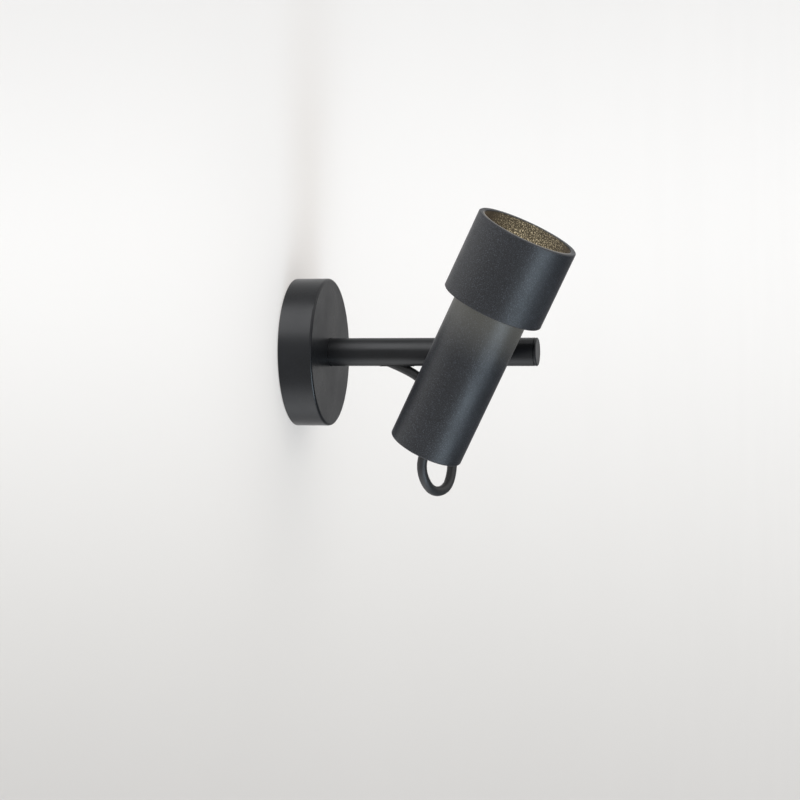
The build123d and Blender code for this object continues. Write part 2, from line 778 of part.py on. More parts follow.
# Two disc springs, cone to cone, at the bottom of the slug's pocket.
spring_hole = pivot_thread_radius + 2 * running_gap
with BuildPart() as pivot_disc_springs:
    for first, second in ((0, 1), (1, 0)):
        middle = -slug_pocket_start + seat_gap + spring_thickness + spring_rise
        base = middle - (spring_thickness + spring_rise) * second + seat_gap * first
        with BuildSketch(pivot_section):
            with BuildLine():
                Polyline(
                    (spring_hole, base + spring_rise * second),
                    (spring_radius, base + spring_rise * first),
                    (spring_radius, base + spring_rise * first + spring_thickness),
                    (spring_hole, base + spring_rise * second + spring_thickness),
                    close=True,
                )
            make_face()
        revolve(axis=pivot_axis)
pivot_disc_springs.part.label = "pivot_disc_springs"
export_step(pivot_disc_springs.part, "parts/pivot_disc_springs.step")

# Thin nut over the disc springs.
with BuildPart() as pivot_nut:
    with BuildSketch(pivot_cross.offset(-nut_start)):
        RegularPolygon(pivot_nut_flats / 2, 6, major_radius=False)
        Circle(pivot_thread_radius + running_gap, mode=Mode.SUBTRACT)
    extrude(amount=-pivot_nut_thickness)
pivot_nut.part.label = "pivot_nut"
export_step(pivot_nut.part, "parts/pivot_nut.step")

# The flex inside rose and arm.
lead_points = [
    (lead_first_x, 0, 0),
    (grommet_centre + lead_corner_from_grommet, 0, 0),
    cord_points[0],
]
with BuildPart() as supply_lead:
    with BuildLine():
        FilletPolyline(*lead_points, radius=bend_radii(lead_points, bend_share))
    with BuildSketch(arm_cross.offset(lead_first_x)):
        Circle(cord_radius)
    sweep()
supply_lead.part.label = "supply_lead"
export_step(supply_lead.part, "parts/supply_lead.step")

# The three leads in the rose, which twist as the arm swivels.
lead_mouth = lead_first_x - seat_gap
wire_depth = plate_thickness + terminal_wire_height
fan_along = rose_lead_circle * cos(radians(rose_lead_fan))
fan_across = rose_lead_circle * sin(radians(rose_lead_fan))
earth_along = -sqrt(earth_place[0] ** 2 + earth_place[1] ** 2)
rose_lead_routes = [
    [
        rose_point(lead_mouth, -rose_lead_circle, 0),
        rose_point(rose_lead_turn_depth, -rose_lead_circle, 0),
        rose_point(earth_lead_depth, -earth_lead_run, 0),
        rose_point(earth_lead_depth, earth_along + earth_lead_stop, 0),
    ]
]
for side in (1, -1):
    rose_lead_routes.append([
        rose_point(lead_mouth, fan_along, side * fan_across),
        rose_point(rose_lead_turn_depth, fan_along, side * fan_across),
        rose_point(wire_depth, rose_lead_run, side * terminal_pitch / 2),
        rose_point(wire_depth, terminal_offset - rose_lead_stop, side * terminal_pitch / 2),
    ])
with BuildPart() as rose_leads:
    for route in rose_lead_routes:
        with BuildLine():
            FilletPolyline(*route, radius=bend_radii(route, bend_share))
        with BuildSketch(Plane(origin=route[0], z_dir=(-1, 0, 0))):
            Circle(lead_radius)
        sweep()
rose_leads.part.label = "rose_leads"
export_step(rose_leads.part, "parts/rose_leads.step")

# The free flex.
with BuildPart() as head_cord:
    with BuildLine() as cord_line:
        FilletPolyline(*cord_points, radius=cord_radii)
    with BuildSketch(cord_start):
        Circle(cord_radius)
    sweep()
head_cord.part.label = "head_cord"
export_step(head_cord.part, "parts/head_cord.step")

# ---------------------------------------------------------------- head

# Saddle between the friction washer and the round body, drilled for the stop pin.
with BuildPart() as head_saddle:
    with BuildSketch(pivot_cross.offset(-washer_face)):
        Circle(boss_radius)
        Circle(pivot_bolt_radius + running_gap, mode=Mode.SUBTRACT)
        with PolarLocations(stop_slot_radius, 1, 90 - head_tilt):
            Circle(tilt_pin_radius + tapped_gap, mode=Mode.SUBTRACT)
    extrude(amount=body_radius)
    with BuildSketch(head_cross.offset(-body_radius)):
        Circle(body_radius + seat_gap)
    extrude(amount=2 * body_radius, mode=Mode.SUBTRACT)
head_saddle.part.label = "head_saddle"
export_step(head_saddle.part, "parts/head_saddle.step")

# Pin that runs in the boss's arc slot and ends the tilt each way.
with BuildPart() as tilt_stop_pin:
    with BuildSketch(pivot_cross.offset(-boss_face - tilt_pin_depth)):
        with PolarLocations(stop_slot_radius, 1, 90 - head_tilt):
            Circle(tilt_pin_radius)
    extrude(amount=tilt_pin_depth + arm_to_body - boss_reach)
tilt_stop_pin.part.label = "tilt_stop_pin"
export_step(tilt_stop_pin.part, "parts/tilt_stop_pin.step")

# Saddle inside the body that gives the bolt a flat seat.
with BuildPart() as inner_saddle:
    with BuildSketch(pivot_cross.offset(-saddle_face)):
        Circle(inner_saddle_radius)
        Circle(pivot_bolt_radius + running_gap, mode=Mode.SUBTRACT)
    extrude(amount=-body_radius)
    with BuildSketch(head_cross.offset(-body_radius)):
        Circle(body_bore - seat_gap)
    extrude(amount=2 * body_radius, mode=Mode.INTERSECT)
inner_saddle.part.label = "inner_saddle"
export_step(inner_saddle.part, "parts/inner_saddle.step")

# Shouldered bolt: socket head inside the body, bearing shoulder through saddles, boss and slug,
# and a thinner threaded end for springs and nut.
bolt_end = nut_start + pivot_nut_thickness + pivot_bolt_tail
with BuildPart() as pivot_bolt:
    with BuildSketch(pivot_section):
        with BuildLine():
            Polyline(
                (0, bolt_end),
                (pivot_thread_radius, bolt_end),
                (pivot_thread_radius, -slug_pocket_start),
                (pivot_bolt_radius, -slug_pocket_start),
                (pivot_bolt_radius, bracket_face),
                (pivot_bolt_head_radius, bracket_face),
                (pivot_bolt_head_radius, bracket_face - pivot_bolt_head_height + turned_edge),
                (pivot_bolt_head_radius - turned_edge, bracket_face - pivot_bolt_head_height),
                (0, bracket_face - pivot_bolt_head_height),
                close=True,
            )
        make_face()
    revolve(axis=pivot_axis)
    with BuildSketch(pivot_cross.offset(pivot_bolt_head_height - bracket_face)):
        RegularPolygon(pivot_hex_flats / 2, 6, major_radius=False)
    extrude(amount=-pivot_hex_depth, mode=Mode.SUBTRACT)
pivot_bolt.part.label = "pivot_bolt"
export_step(pivot_bolt.part, "parts/pivot_bolt.step")

# The head's tube, with a softened lower edge, a cross hole for the bolt and one for the tail screw.
with BuildPart() as body_tube:
    with BuildSketch(head_cross.offset(body_bottom)):
        Circle(body_radius)
        Circle(body_bore, mode=Mode.SUBTRACT)
    extrude(amount=tube_top - body_bottom)
    fillet(body_tube.edges().group_by(head_axis)[0].sort_by(SortBy.RADIUS)[-1], body_edge_radius)
    with BuildSketch(pivot_cross.offset(arm_radius)):
        Circle(pivot_bolt_radius + running_gap)
    extrude(amount=body_radius, mode=Mode.SUBTRACT)
    with BuildSketch(radial_plane(cap_middle, 90, body_bore - cut_margin)):
        Circle(tail_screw_radius + running_gap)
    extrude(amount=2 * body_wall, mode=Mode.SUBTRACT)
body_tube.part.label = "body_tube"
export_step(body_tube.part, "parts/body_tube.step")

# Recessed disc that closes the tube's lower end and holds the cable gland.
with BuildPart() as tail_cap:
    with BuildSketch(head_cross.offset(cap_bottom)):
        Circle(body_bore - seat_gap)
        Circle(grip_shank_radius + tapped_gap, mode=Mode.SUBTRACT)
    extrude(amount=tail_cap_thickness)
    with BuildSketch(radial_plane(cap_middle, 90, body_bore + cut_margin)):
        Circle(tail_screw_radius + tapped_gap)
    extrude(amount=-tail_screw_length, mode=Mode.SUBTRACT)
tail_cap.part.label = "tail_cap"
export_step(tail_cap.part, "parts/tail_cap.step")

# Set screw through the tube's hidden side into the tail cap.
with BuildPart() as tail_screw:
    with BuildSketch(radial_plane(cap_middle, 90, body_radius - tail_screw_sunk)):
        Circle(tail_screw_radius)
    extrude(amount=-tail_screw_length)
    with BuildSketch(radial_plane(cap_middle, 90, body_radius - tail_screw_sunk)):
        RegularPolygon(tail_screw_radius / 2, 6)
    extrude(amount=-tail_screw_radius, mode=Mode.SUBTRACT)
tail_screw.part.label = "tail_screw"
export_step(tail_screw.part, "parts/tail_screw.step")

# Low round gland with a bell mouth, through the tail cap.
with BuildPart() as cord_grip:
    with BuildSketch(head_cross.offset(cap_bottom)):
        Circle(grip_shank_radius)
    extrude(amount=grip_shank_length)
    with BuildSketch(head_cross.offset(cap_bottom)):
        Circle(grip_flange_radius)
    extrude(amount=-grip_flange_height)
    fillet(cord_grip.edges().group_by(head_axis)[0], grip_mouth_radius)
    with BuildSketch(head_cross.offset(cap_bottom - grip_flange_height)):
        Circle(cord_radius + cord_gap)
    extrude(amount=grip_flange_height + grip_shank_length, mode=Mode.SUBTRACT)
    fillet(cord_grip.edges().group_by(head_axis)[0].sort_by(SortBy.RADIUS)[0], grip_mouth_radius)
cord_grip.part.label = "cord_grip"
export_step(cord_grip.part, "parts/cord_grip.step")

# Nut of the gland, inside the tube.
with BuildPart() as grip_nut:
    with BuildSketch(head_cross.offset(cap_top)):
        RegularPolygon(grip_nut_flats / 2, 6, major_radius=False)
        Circle(grip_shank_radius + tapped_gap, mode=Mode.SUBTRACT)
    extrude(amount=grip_nut_thickness)
grip_nut.part.label = "grip_nut"
export_step(grip_nut.part, "parts/grip_nut.step")

# Angle bracket: its upright is clamped by the pivot bolt and its shelf carries the lampholder.
upright = saddle_face + head_offset
bracket_plane = Plane(
    origin=head_point(-bracket_width / 2, 0, 0),
    x_dir=(0, 1, 0),
    z_dir=head_out,
)
with BuildPart() as holder_bracket:
    with BuildLine(bracket_plane):
        FilletPolyline(
            (upright, -bracket_drop),
            (upright, holder_bottom),
            (upright - bracket_reach, holder_bottom),
            radius=bracket_bend_radius,
        )
    make_brake_formed(bracket_thickness, bracket_width, side=Side.RIGHT)
    with BuildSketch(pivot_cross.offset(-saddle_face)):
        Circle(pivot_bolt_radius + running_gap)
    extrude(amount=2 * bracket_thickness, mode=Mode.SUBTRACT)
    with BuildSketch(head_cross.offset(holder_bottom)):
        Circle(lead_hole_radius)
        with GridLocations(0, 2 * holder_screw_offset, 1, 2):
            Circle(holder_screw_radius + running_gap)
    extrude(amount=-2 * bracket_thickness, mode=Mode.SUBTRACT)
holder_bracket.part.label = "holder_bracket"
export_step(holder_bracket.part, "parts/holder_bracket.step")

# Ceramic lampholder with two keyhole slots. A pin's head enters at the wide end and turns under
# the narrow lip.
lip_bottom = lamp_bottom - lamp_pin_length + lamp_pin_head + holder_socket_gap
socket_floor = lamp_bottom - lamp_pin_length - holder_socket_gap
with BuildPart() as lampholder:
    with BuildSketch(head_cross.offset(holder_bottom)):
        Circle(holder_radius)
    extrude(amount=holder_height)
    fillet(lampholder.edges(), holder_edge)
    for pin_angle in (0, 180):
        with BuildLine(mode=Mode.PRIVATE) as turn_arc:
            CenterArc((0, 0), lamp_pin_pitch / 2, pin_angle - lamp_turn, lamp_turn)
        with BuildSketch(head_cross.offset(holder_top)):
            SlotArc(turn_arc.edge(), 2 * (lamp_pin_neck_radius + holder_socket_gap))
            with PolarLocations(lamp_pin_pitch / 2, 1, pin_angle - lamp_turn):
                Circle(lamp_pin_radius + holder_socket_gap)
        extrude(amount=lip_bottom - holder_top, mode=Mode.SUBTRACT)
        with BuildSketch(head_cross.offset(lip_bottom)):
            SlotArc(turn_arc.edge(), 2 * (lamp_pin_radius + holder_socket_gap))
        extrude(amount=socket_floor - lip_bottom, mode=Mode.SUBTRACT)
    with BuildSketch(head_cross.offset(holder_bottom)):
        with GridLocations(0, 2 * holder_screw_offset, 1, 2):
            Circle(holder_screw_radius + tapped_gap)
    extrude(amount=holder_screw_bite + cut_margin, mode=Mode.SUBTRACT)
    with BuildSketch(head_cross.offset(holder_bottom)):
        with GridLocations(2 * lead_spread, 0, 2, 1):
            Circle(lead_radius + holder_socket_gap)
    extrude(amount=lead_bite, mode=Mode.SUBTRACT)
lampholder.part.label = "lampholder"
export_step(lampholder.part, "parts/lampholder.step")

# Its two screws, from below the shelf.
with BuildPart() as holder_screws:
    with BuildSketch(head_cross.offset(holder_bottom - bracket_thickness)):
        with GridLocations(0, 2 * holder_screw_offset, 1, 2):
            Circle(holder_screw_radius)
    extrude(amount=bracket_thickness + holder_screw_bite)
    with BuildSketch(head_cross.offset(holder_bottom - bracket_thickness)):
        with GridLocations(0, 2 * holder_screw_offset, 1, 2):
            Circle(holder_screw_head_radius)
    extrude(amount=-holder_screw_head_height, taper=screw_head_taper)
    holder_head_end = holder_bottom - bracket_thickness - holder_screw_head_height
    with BuildSketch(head_cross.offset(holder_head_end)):
        with GridLocations(0, 2 * holder_screw_offset, 1, 2):
            cross_recess()
    extrude(amount=recess_depth, mode=Mode.SUBTRACT)
holder_screws.part.label = "holder_screws"
export_step(holder_screws.part, "parts/holder_screws.step")

# Ceramic base of the lamp.
with BuildPart() as lamp_base:
    with BuildSketch(head_cross.offset(lamp_bottom)):
        Circle(lamp_base_radius)
    extrude(amount=lamp_base_height)
    fillet(lamp_base.edges().group_by(head_axis)[0], holder_edge)
lamp_base.part.label = "lamp_base"
export_step(lamp_base.part, "parts/lamp_base.step")

# Its two headed pins, turned home in the holder's slots.
with BuildPart() as lamp_pins:
    with BuildSketch(head_cross.offset(lamp_bottom)):
        with GridLocations(lamp_pin_pitch, 0, 2, 1):
            Circle(lamp_pin_neck_radius)
    extrude(amount=-lamp_pin_length)
    with BuildSketch(head_cross.offset(lamp_bottom - lamp_pin_length)):
        with GridLocations(lamp_pin_pitch, 0, 2, 1):
            Circle(lamp_pin_radius)
    extrude(amount=lamp_pin_head)
lamp_pins.part.label = "lamp_pins"
export_step(lamp_pins.part, "parts/lamp_pins.step")

# The lamp's flared body with its rim, recessed for the lens.
rim_bottom = lamp_front - lamp_rim_height
base_top = lamp_bottom + lamp_base_height
lens_bottom = lamp_front - lamp_lens_sunk - lamp_lens_thickness
with BuildPart() as lamp_reflector:
    with BuildSketch(head_section):
        with BuildLine():
            flare = Spline(
                (lamp_base_radius, base_top),
                (lamp_radius - lamp_rim_step, rim_bottom),
                tangents=(lamp_flare_start, lamp_flare_end),
            )
            Polyline(
                flare @ 1,
                (lamp_radius, rim_bottom),
                (lamp_radius, lamp_front),
                (lamp_lens_radius + seat_gap, lamp_front),
                (lamp_lens_radius + seat_gap, lens_bottom),
                (0, lens_bottom),
                (0, base_top),
                flare @ 0,
            )
        make_face()
        with BuildLine():
            inside = Spline(
                (lamp_base_radius - lamp_wall, base_top + lamp_wall),
                (lamp_radius - lamp_rim_step - lamp_wall, rim_bottom),
                tangents=(lamp_flare_start, lamp_flare_end),
            )
            Polyline(
                inside @ 1,
                (lamp_radius - lamp_rim_step - lamp_wall, lens_bottom),
                (0, lens_bottom),
                (0, base_top + lamp_wall),
                inside @ 0,
            )
        make_face(mode=Mode.SUBTRACT)
    revolve(axis=head_axis)
lamp_reflector.part.label = "lamp_reflector"
export_step(lamp_reflector.part, "parts/lamp_reflector.step")

# Its lens, just inside the rim.
with BuildPart() as lamp_lens:
    with BuildSketch(head_cross.offset(lens_bottom)):
        Circle(lamp_lens_radius)
    extrude(amount=lamp_lens_thickness)
lamp_lens.part.label = "lamp_lens"
export_step(lamp_lens.part, "parts/lamp_lens.step")

# Two leads from the end of the flex up to the holder.
lead_station = cord_end_station + seat_gap
with BuildPart() as lamp_leads:
    for side in (1, -1):
        lead_route = [
            (side * lead_start, lead_station),
            (side * lead_start, lead_station + lead_rise),
            (side * lead_belly, -lead_rise),
            (side * lead_spread, holder_bottom - lead_rise / 2),
            (side * lead_spread, holder_bottom + lead_bite - lead_end_gap),
        ]
        with BuildLine(head_section):
            FilletPolyline(*lead_route, radius=lead_bend_radius)
        with BuildSketch(head_cross.offset(lead_station)):
            with Locations((side * lead_start, 0)):
                Circle(lead_radius)
        sweep()
lamp_leads.part.label = "lamp_leads"
export_step(lamp_leads.part, "parts/lamp_leads.step")

# Carrier of the ring: a spigot in the tube, a collar on its end, and three arms whose round-ended
# tabs stand against the ring's bore. The gap between the arms stays open.
tab_face = shade_bore - seat_gap - spider_tab_thickness
tab_height = spider_tab_rise + spider_arm_width / 2
screw_station = spider_top + spider_tab_rise
arm_angles = [
    spider_first_arm + arm * 360 / spider_arm_count for arm in range(spider_arm_count)
]
with BuildPart() as shade_spider:
    with BuildSketch(head_cross.offset(tube_top - spider_spigot_depth)):
        Circle(body_bore - seat_gap)
    extrude(amount=spider_spigot_depth)
    with BuildSketch(head_cross.offset(tube_top)):
        Circle(body_radius)
        with PolarLocations(shade_bore / 2, spider_arm_count, spider_first_arm):
            Rectangle(shade_bore, spider_arm_width)
    extrude(amount=spider_thickness)
    for arm_angle in arm_angles:
        with BuildSketch(radial_plane(spider_top, arm_angle, tab_face)):
            with Locations((spider_tab_rise / 2, 0)):
                Rectangle(spider_tab_rise, spider_arm_width)
            with Locations((spider_tab_rise, 0)):
                Circle(spider_arm_width / 2)
        extrude(amount=2 * spider_tab_thickness)
    with BuildSketch(head_cross.offset(tube_top - spider_spigot_depth)):
        Circle(shade_bore - seat_gap)
        Circle(body_bore - seat_gap - spider_wall, mode=Mode.SUBTRACT)
    extrude(amount=spider_spigot_depth + spider_thickness + tab_height, mode=Mode.INTERSECT)
    for arm_angle in arm_angles:
        with BuildSketch(radial_plane(screw_station, arm_angle, tab_face)):
            Circle(shade_screw_radius + running_gap)
        extrude(amount=2 * spider_tab_thickness, mode=Mode.SUBTRACT)
shade_spider.part.label = "shade_spider"
export_step(shade_spider.part, "parts/shade_spider.step")

# Three socket screws from inside, through the tabs into the ring's wall.
with BuildPart() as shade_screws:
    for arm_angle in arm_angles:
        with BuildSketch(radial_plane(screw_station, arm_angle, tab_face)):
            Circle(shade_screw_radius)
        extrude(amount=shade_bore - tab_face + shade_screw_bite)
        with BuildSketch(radial_plane(screw_station, arm_angle, tab_face)):
            Circle(shade_screw_head_radius)
        extrude(amount=-shade_screw_head_height, taper=screw_head_taper)
        head_face = tab_face - shade_screw_head_height
        with BuildSketch(radial_plane(screw_station, arm_angle, head_face)):
            RegularPolygon(shade_hex_flats / 2, 6, major_radius=False)
        extrude(amount=shade_hex_depth, mode=Mode.SUBTRACT)
shade_screws.part.label = "shade_screws"
export_step(shade_screws.part, "parts/shade_screws.step")

# The wide open ring, with its edges bevelled and three blind holes inside.
with BuildPart() as shade_ring:
    with BuildSketch(head_cross.offset(shade_bottom)):
        Circle(shade_radius)
        Circle(shade_bore, mode=Mode.SUBTRACT)
    extrude(amount=shade_top - shade_bottom)
    chamfer(shade_ring.edges().filter_by(GeomType.CIRCLE), shade_edge)
    for arm_angle in arm_angles:
        with BuildSketch(radial_plane(screw_station, arm_angle, shade_bore - cut_margin)):
            Circle(shade_screw_radius + tapped_gap)
        extrude(amount=cut_margin + shade_screw_bite + shade_screw_tip_gap, mode=Mode.SUBTRACT)
shade_ring.part.label = "shade_ring"
export_step(shade_ring.part, "parts/shade_ring.step")

for radius in cord_radii:
    print("cord bend radius", round(radius, 1))
cord_length = cord_line.wire().length
cord_section = pi * cord_radius**2
print("cord length", round(cord_length, 2))
print("cord volume over section times length", round(head_cord.part.volume / (cord_section * cord_length), 5))
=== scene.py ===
# %% [markdown]
# # A pivoting spotlight wall light
#
# The light has a round rose on the wall, a straight tube that stands out of it, and a cylindrical
# head that leans beside the tube. A wide open ring stands round the lamp, and a round flex loops
# from the tube's underside into the head's tail. The metal parts come in as finished solids, so
# this lesson is about their finishes, the flex, the lamp's lens, the end plug, the light and the
# camera.

# %% Load the solids
from math import cos, pi, radians, sin, tau

import bmesh
import bpy
from mathutils import Matrix, Vector


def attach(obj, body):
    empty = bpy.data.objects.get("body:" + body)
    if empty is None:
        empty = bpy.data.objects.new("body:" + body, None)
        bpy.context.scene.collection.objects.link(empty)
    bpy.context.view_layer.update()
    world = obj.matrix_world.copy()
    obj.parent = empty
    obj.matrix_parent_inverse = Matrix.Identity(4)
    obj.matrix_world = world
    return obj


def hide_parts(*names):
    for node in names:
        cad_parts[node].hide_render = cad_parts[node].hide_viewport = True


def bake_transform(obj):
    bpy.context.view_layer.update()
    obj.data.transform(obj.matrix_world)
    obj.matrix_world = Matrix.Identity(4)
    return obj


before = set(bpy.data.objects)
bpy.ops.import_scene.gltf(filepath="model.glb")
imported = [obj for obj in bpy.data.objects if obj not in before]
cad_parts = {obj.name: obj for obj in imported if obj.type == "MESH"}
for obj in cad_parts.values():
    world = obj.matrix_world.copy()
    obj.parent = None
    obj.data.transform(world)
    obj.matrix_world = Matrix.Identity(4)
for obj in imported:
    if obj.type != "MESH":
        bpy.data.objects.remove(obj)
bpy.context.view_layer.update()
scene = bpy.context.scene

# %% [markdown]
# ## The head's own axes
#
# The head leans 27 degrees, so its lamp, ring and tail are easiest to place along its own axis.
# One point on that axis and two directions are enough: a station is a distance along the axis from
# the pivot, and a radius is a distance from the axis.

# %% Axes of the leaning head
MM = 0.001
head_tilt = radians(27)
head_centre = Vector((125.4, -44.5, 0)) * MM
head_up = Vector((sin(head_tilt), 0, cos(head_tilt)))
head_out = Vector((cos(head_tilt), 0, -sin(head_tilt)))
head_frame = Matrix((head_out, Vector((0, 1, 0)), head_up)).transposed().to_4x4()
head_frame.translation = head_centre
print("head axis", tuple(round(v, 3) for v in head_up))

# %% [markdown]
# ## The camera
#
# The photograph was taken with a long lens from a little to the right and a little above. Three
# angles, one distance and the place of the rose's centre in the picture say all of that, so the
# camera is built from them and not dragged into place.

# %% Camera at the photograph's viewing angle
FRAME_PIXELS = 800
FOCAL_PIXELS = 2152.0
SENSOR_MM = 36.0
CLIP_END = 50
camera_heading = radians(13.583)
camera_height = radians(10.634)
camera_roll = radians(-2.333)
camera_distance = 1.4643
rose_centre = Vector((23 * MM, 0, 0))
rose_centre_pixel = (331.1, 352.1)

back = Vector((
    sin(camera_heading) * cos(camera_height),
    -cos(camera_heading) * cos(camera_height),
    sin(camera_height),
))
level = Vector((cos(camera_heading), sin(camera_heading), 0))
right = level * cos(camera_roll) + back.cross(level) * sin(camera_roll)
upward = back.cross(right)
metres_per_pixel = camera_distance / FOCAL_PIXELS
aside = (rose_centre_pixel[0] - FRAME_PIXELS / 2) * metres_per_pixel
below = (rose_centre_pixel[1] - FRAME_PIXELS / 2) * metres_per_pixel

camera_data = bpy.data.cameras.new("photo_camera")
camera_data.sensor_width = SENSOR_MM
camera_data.lens = FOCAL_PIXELS / FRAME_PIXELS * SENSOR_MM
camera_data.clip_end = CLIP_END
camera = bpy.data.objects.new("photo_camera", camera_data)
camera.matrix_world = Matrix((right, upward, back)).transposed().to_4x4()
camera.location = rose_centre + back * camera_distance - right * aside + upward * below
scene.collection.objects.link(camera)
scene.camera = camera
print("camera at", tuple(round(v, 3) for v in camera.location), "lens", round(camera_data.lens, 1))

# %% [markdown]
# ## The flex
#
# The flex is a limp black cable 6.6 mm thick. It leaves the grommet under the tube, passes behind
# the head, turns round below it and goes into the gland in the tail. It could be a chain of
# straight and round pieces, but a NURBS spline with listed control points gives one smooth
# line with no straight runs. The order is set after the points, because a spline with too few
# points falls back to straight runs. The curve is read once without a bevel for its centreline,
# and once with it for the tube, so both follow the same line.

# %% Route of the flex, its points in millimetres
FLEX_DIAMETER = 6.6 * MM
FLEX_ORDER = 3
STEPS_ALONG = 16
STEPS_ROUND = 8
flex_points = [
    (53.2, 0.0, -2.72),
    (71.73, 0.0, -9.92),
    (86.79, 0.0, -19.13),
    (97.92, 0.0, -33.12),
    (104.0, -0.5, -47.0),
    (104.69, -1.5, -61.83),
    (105.4, -3.2, -79.6),
    (103.6, -15.5, -91.24),
    (96.93, -32.5, -89.4),
    (93.11, -44.0, -75.14),
    (94.08, -44.5, -61.48),
    (99.72, -44.5, -50.4),
]
flex_curve = bpy.data.curves.new("flex_route", "CURVE")
flex_curve.dimensions = "3D"
flex_spline = flex_curve.splines.new("NURBS")
flex_spline.points.add(len(flex_points) - 1)
for point, place in zip(flex_spline.points, flex_points):
    point.co = (*(Vector(place) * MM), 1)
flex_spline.order_u = FLEX_ORDER
flex_spline.use_endpoint_u = True
flex_spline.resolution_u = STEPS_ALONG


def read_curve(curve, name):
    """The mesh that Blender makes of a curve."""
    carrier = bpy.data.objects.new(name, curve)
    scene.collection.objects.link(carrier)
    graph = bpy.context.evaluated_depsgraph_get()
    mesh = bpy.data.meshes.new_from_object(carrier.evaluated_get(graph))
    bpy.data.objects.remove(carrier)
    return mesh


flex_line = [v.co.copy() for v in read_curve(flex_curve, "flex_line").vertices]
flex_curve.bevel_depth = FLEX_DIAMETER / 2
flex_curve.bevel_resolution = STEPS_ROUND
flex_curve.use_fill_caps = True
flex = bpy.data.objects.new("flex", read_curve(flex_curve, "flex_tube"))
scene.collection.objects.link(flex)
flex.data.shade_smooth()
flex_length = sum((b - a).length for a, b in zip(flex_line, flex_line[1:]))
print("flex line", round(flex_length, 4), "m through", len(flex_line), "points")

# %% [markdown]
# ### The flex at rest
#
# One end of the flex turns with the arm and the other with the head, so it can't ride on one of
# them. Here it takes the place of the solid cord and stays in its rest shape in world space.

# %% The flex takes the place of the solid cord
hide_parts("head_cord")
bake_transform(flex)

# %% [markdown]
# ## Node groups: effects that several finishes share
#
# Powder coat, rubber and plastic all have a grain, and every finish drifts a little in tone over
# a hand's width. Each such effect is built once as a group with named sockets and is placed in a
# material with its own values. A group only gives out colours, masks and heights. The shader stays
# in the material, where its plain values sit on its own sockets. Three helpers make a group, make
# a node, and fill a node's inputs with values or links.

# %% Helpers: a group, a node and its inputs
COLOR = "NodeSocketColor"
FLOAT = "NodeSocketFloat"
VECTOR = "NodeSocketVector"


def new_group(name, inputs, outputs):
    """A shader group with its named sockets, and its two end nodes."""
    tree = bpy.data.node_groups.new(name, "ShaderNodeTree")
    for label, kind, value in inputs:
        socket = tree.interface.new_socket(label, in_out="INPUT", socket_type=kind)
        if value is not None:
            socket.default_value = value
    for label, kind in outputs:
        tree.interface.new_socket(label, in_out="OUTPUT", socket_type=kind)
    return tree, tree.nodes.new("NodeGroupInput"), tree.nodes.new("NodeGroupOutput")


def add(tree, kind, **settings):
    """A node with its settings, such as its operation."""
    made = tree.nodes.new(kind)
    for label, value in settings.items():
        setattr(made, label, value)
    return made


def feed(tree, target, sources):
    """Values or links for a node's inputs, by name or number."""
    for label, source in sources.items():
        if isinstance(source, bpy.types.NodeSocket):
            tree.links.new(source, target.inputs[label])
        else:
            target.inputs[label].default_value = source
    return target


print("node helpers ready")

# %% [markdown]
# ### Small sums
#
# Masks and colours come from the same few sums again and again: a product, a value that follows
# another one, a mix of two colours, a scaled vector. Each could be written out where it is used.
# As a helper it takes one line, and it gives back the socket that goes on.

# %% Helpers: sums


def multiply(tree, first, second):
    """The product of two numbers."""
    made = add(tree, "ShaderNodeMath", operation="MULTIPLY")
    return feed(tree, made, {0: first, 1: second}).outputs[0]


def ramp(tree, value, low, high, start=0.0, end=1.0, kind="LINEAR"):
    """A value that goes from start to end while another goes from low to high."""
    made = add(tree, "ShaderNodeMapRange", interpolation_type=kind)
    feed(tree, made, {
        "Value": value,
        "From Min": low,
        "From Max": high,
        "To Min": start,
        "To Max": end,
    })
    return made.outputs["Result"]


def mix_colors(tree, factor, first, second):
    """The first colour where the factor is 0, and the second where it is 1."""
    made = add(tree, "ShaderNodeMix", data_type="RGBA")
    return feed(tree, made, {"Factor": factor, 6: first, 7: second}).outputs[2]


def scale_vector(tree, vector, factor):
    """A vector or colour times a number."""
    made = add(tree, "ShaderNodeVectorMath", operation="SCALE")
    return feed(tree, made, {0: vector, "Scale": factor}).outputs[0]


def dot(tree, first, second):
    """How far the first vector reaches along the second."""
    made = add(tree, "ShaderNodeVectorMath", operation="DOT_PRODUCT")
    return feed(tree, made, {0: first, 1: second}).outputs["Value"]


print("sums ready")

# %% [markdown]
# ### Grain
#
# A textured powder coat is a skin of tiny bumps whose tops catch the light. It could be scattered
# dots, but a noise with a cell of about half a millimetre gives the bumps' height, and its peaks,
# sharpened by a narrow range, give the pale flecks: partly the coat's own speckle, partly a painted
# glint where the tops catch the light. Roughness follows the same noise, so flecks and hollows
# shine differently.

# %% Group: grain
NOISE_SPAN = (0.3, 0.7)
FLECK_SPAN = (0.5, 0.72)
grain, grain_in, grain_out = new_group(
    "grain",
    [
        ("Coordinates", VECTOR, None),
        ("Coat Color", COLOR, (0.02, 0.02, 0.02, 1)),
        ("Fleck Color", COLOR, (0.1, 0.1, 0.1, 1)),
        ("Cells per Metre", FLOAT, 1500.0),
        ("Fleck Share", FLOAT, 0.3),
        ("Smooth", FLOAT, 0.35),
        ("Rough", FLOAT, 0.5),
    ],
    [("Color", COLOR), ("Roughness", FLOAT), ("Height", FLOAT)],
)
bumps = add(grain, "ShaderNodeTexNoise")
feed(grain, bumps, {
    "Vector": grain_in.outputs["Coordinates"],
    "Scale": grain_in.outputs["Cells per Metre"],
    "Detail": 2.0,
    "Roughness": 0.6,
})
bump_height = bumps.outputs["Fac"]
# Pale flecks on the peaks: partly the coat's own speckle, partly painted glint.
peaks = ramp(grain, bump_height, *FLECK_SPAN, kind="SMOOTHSTEP")
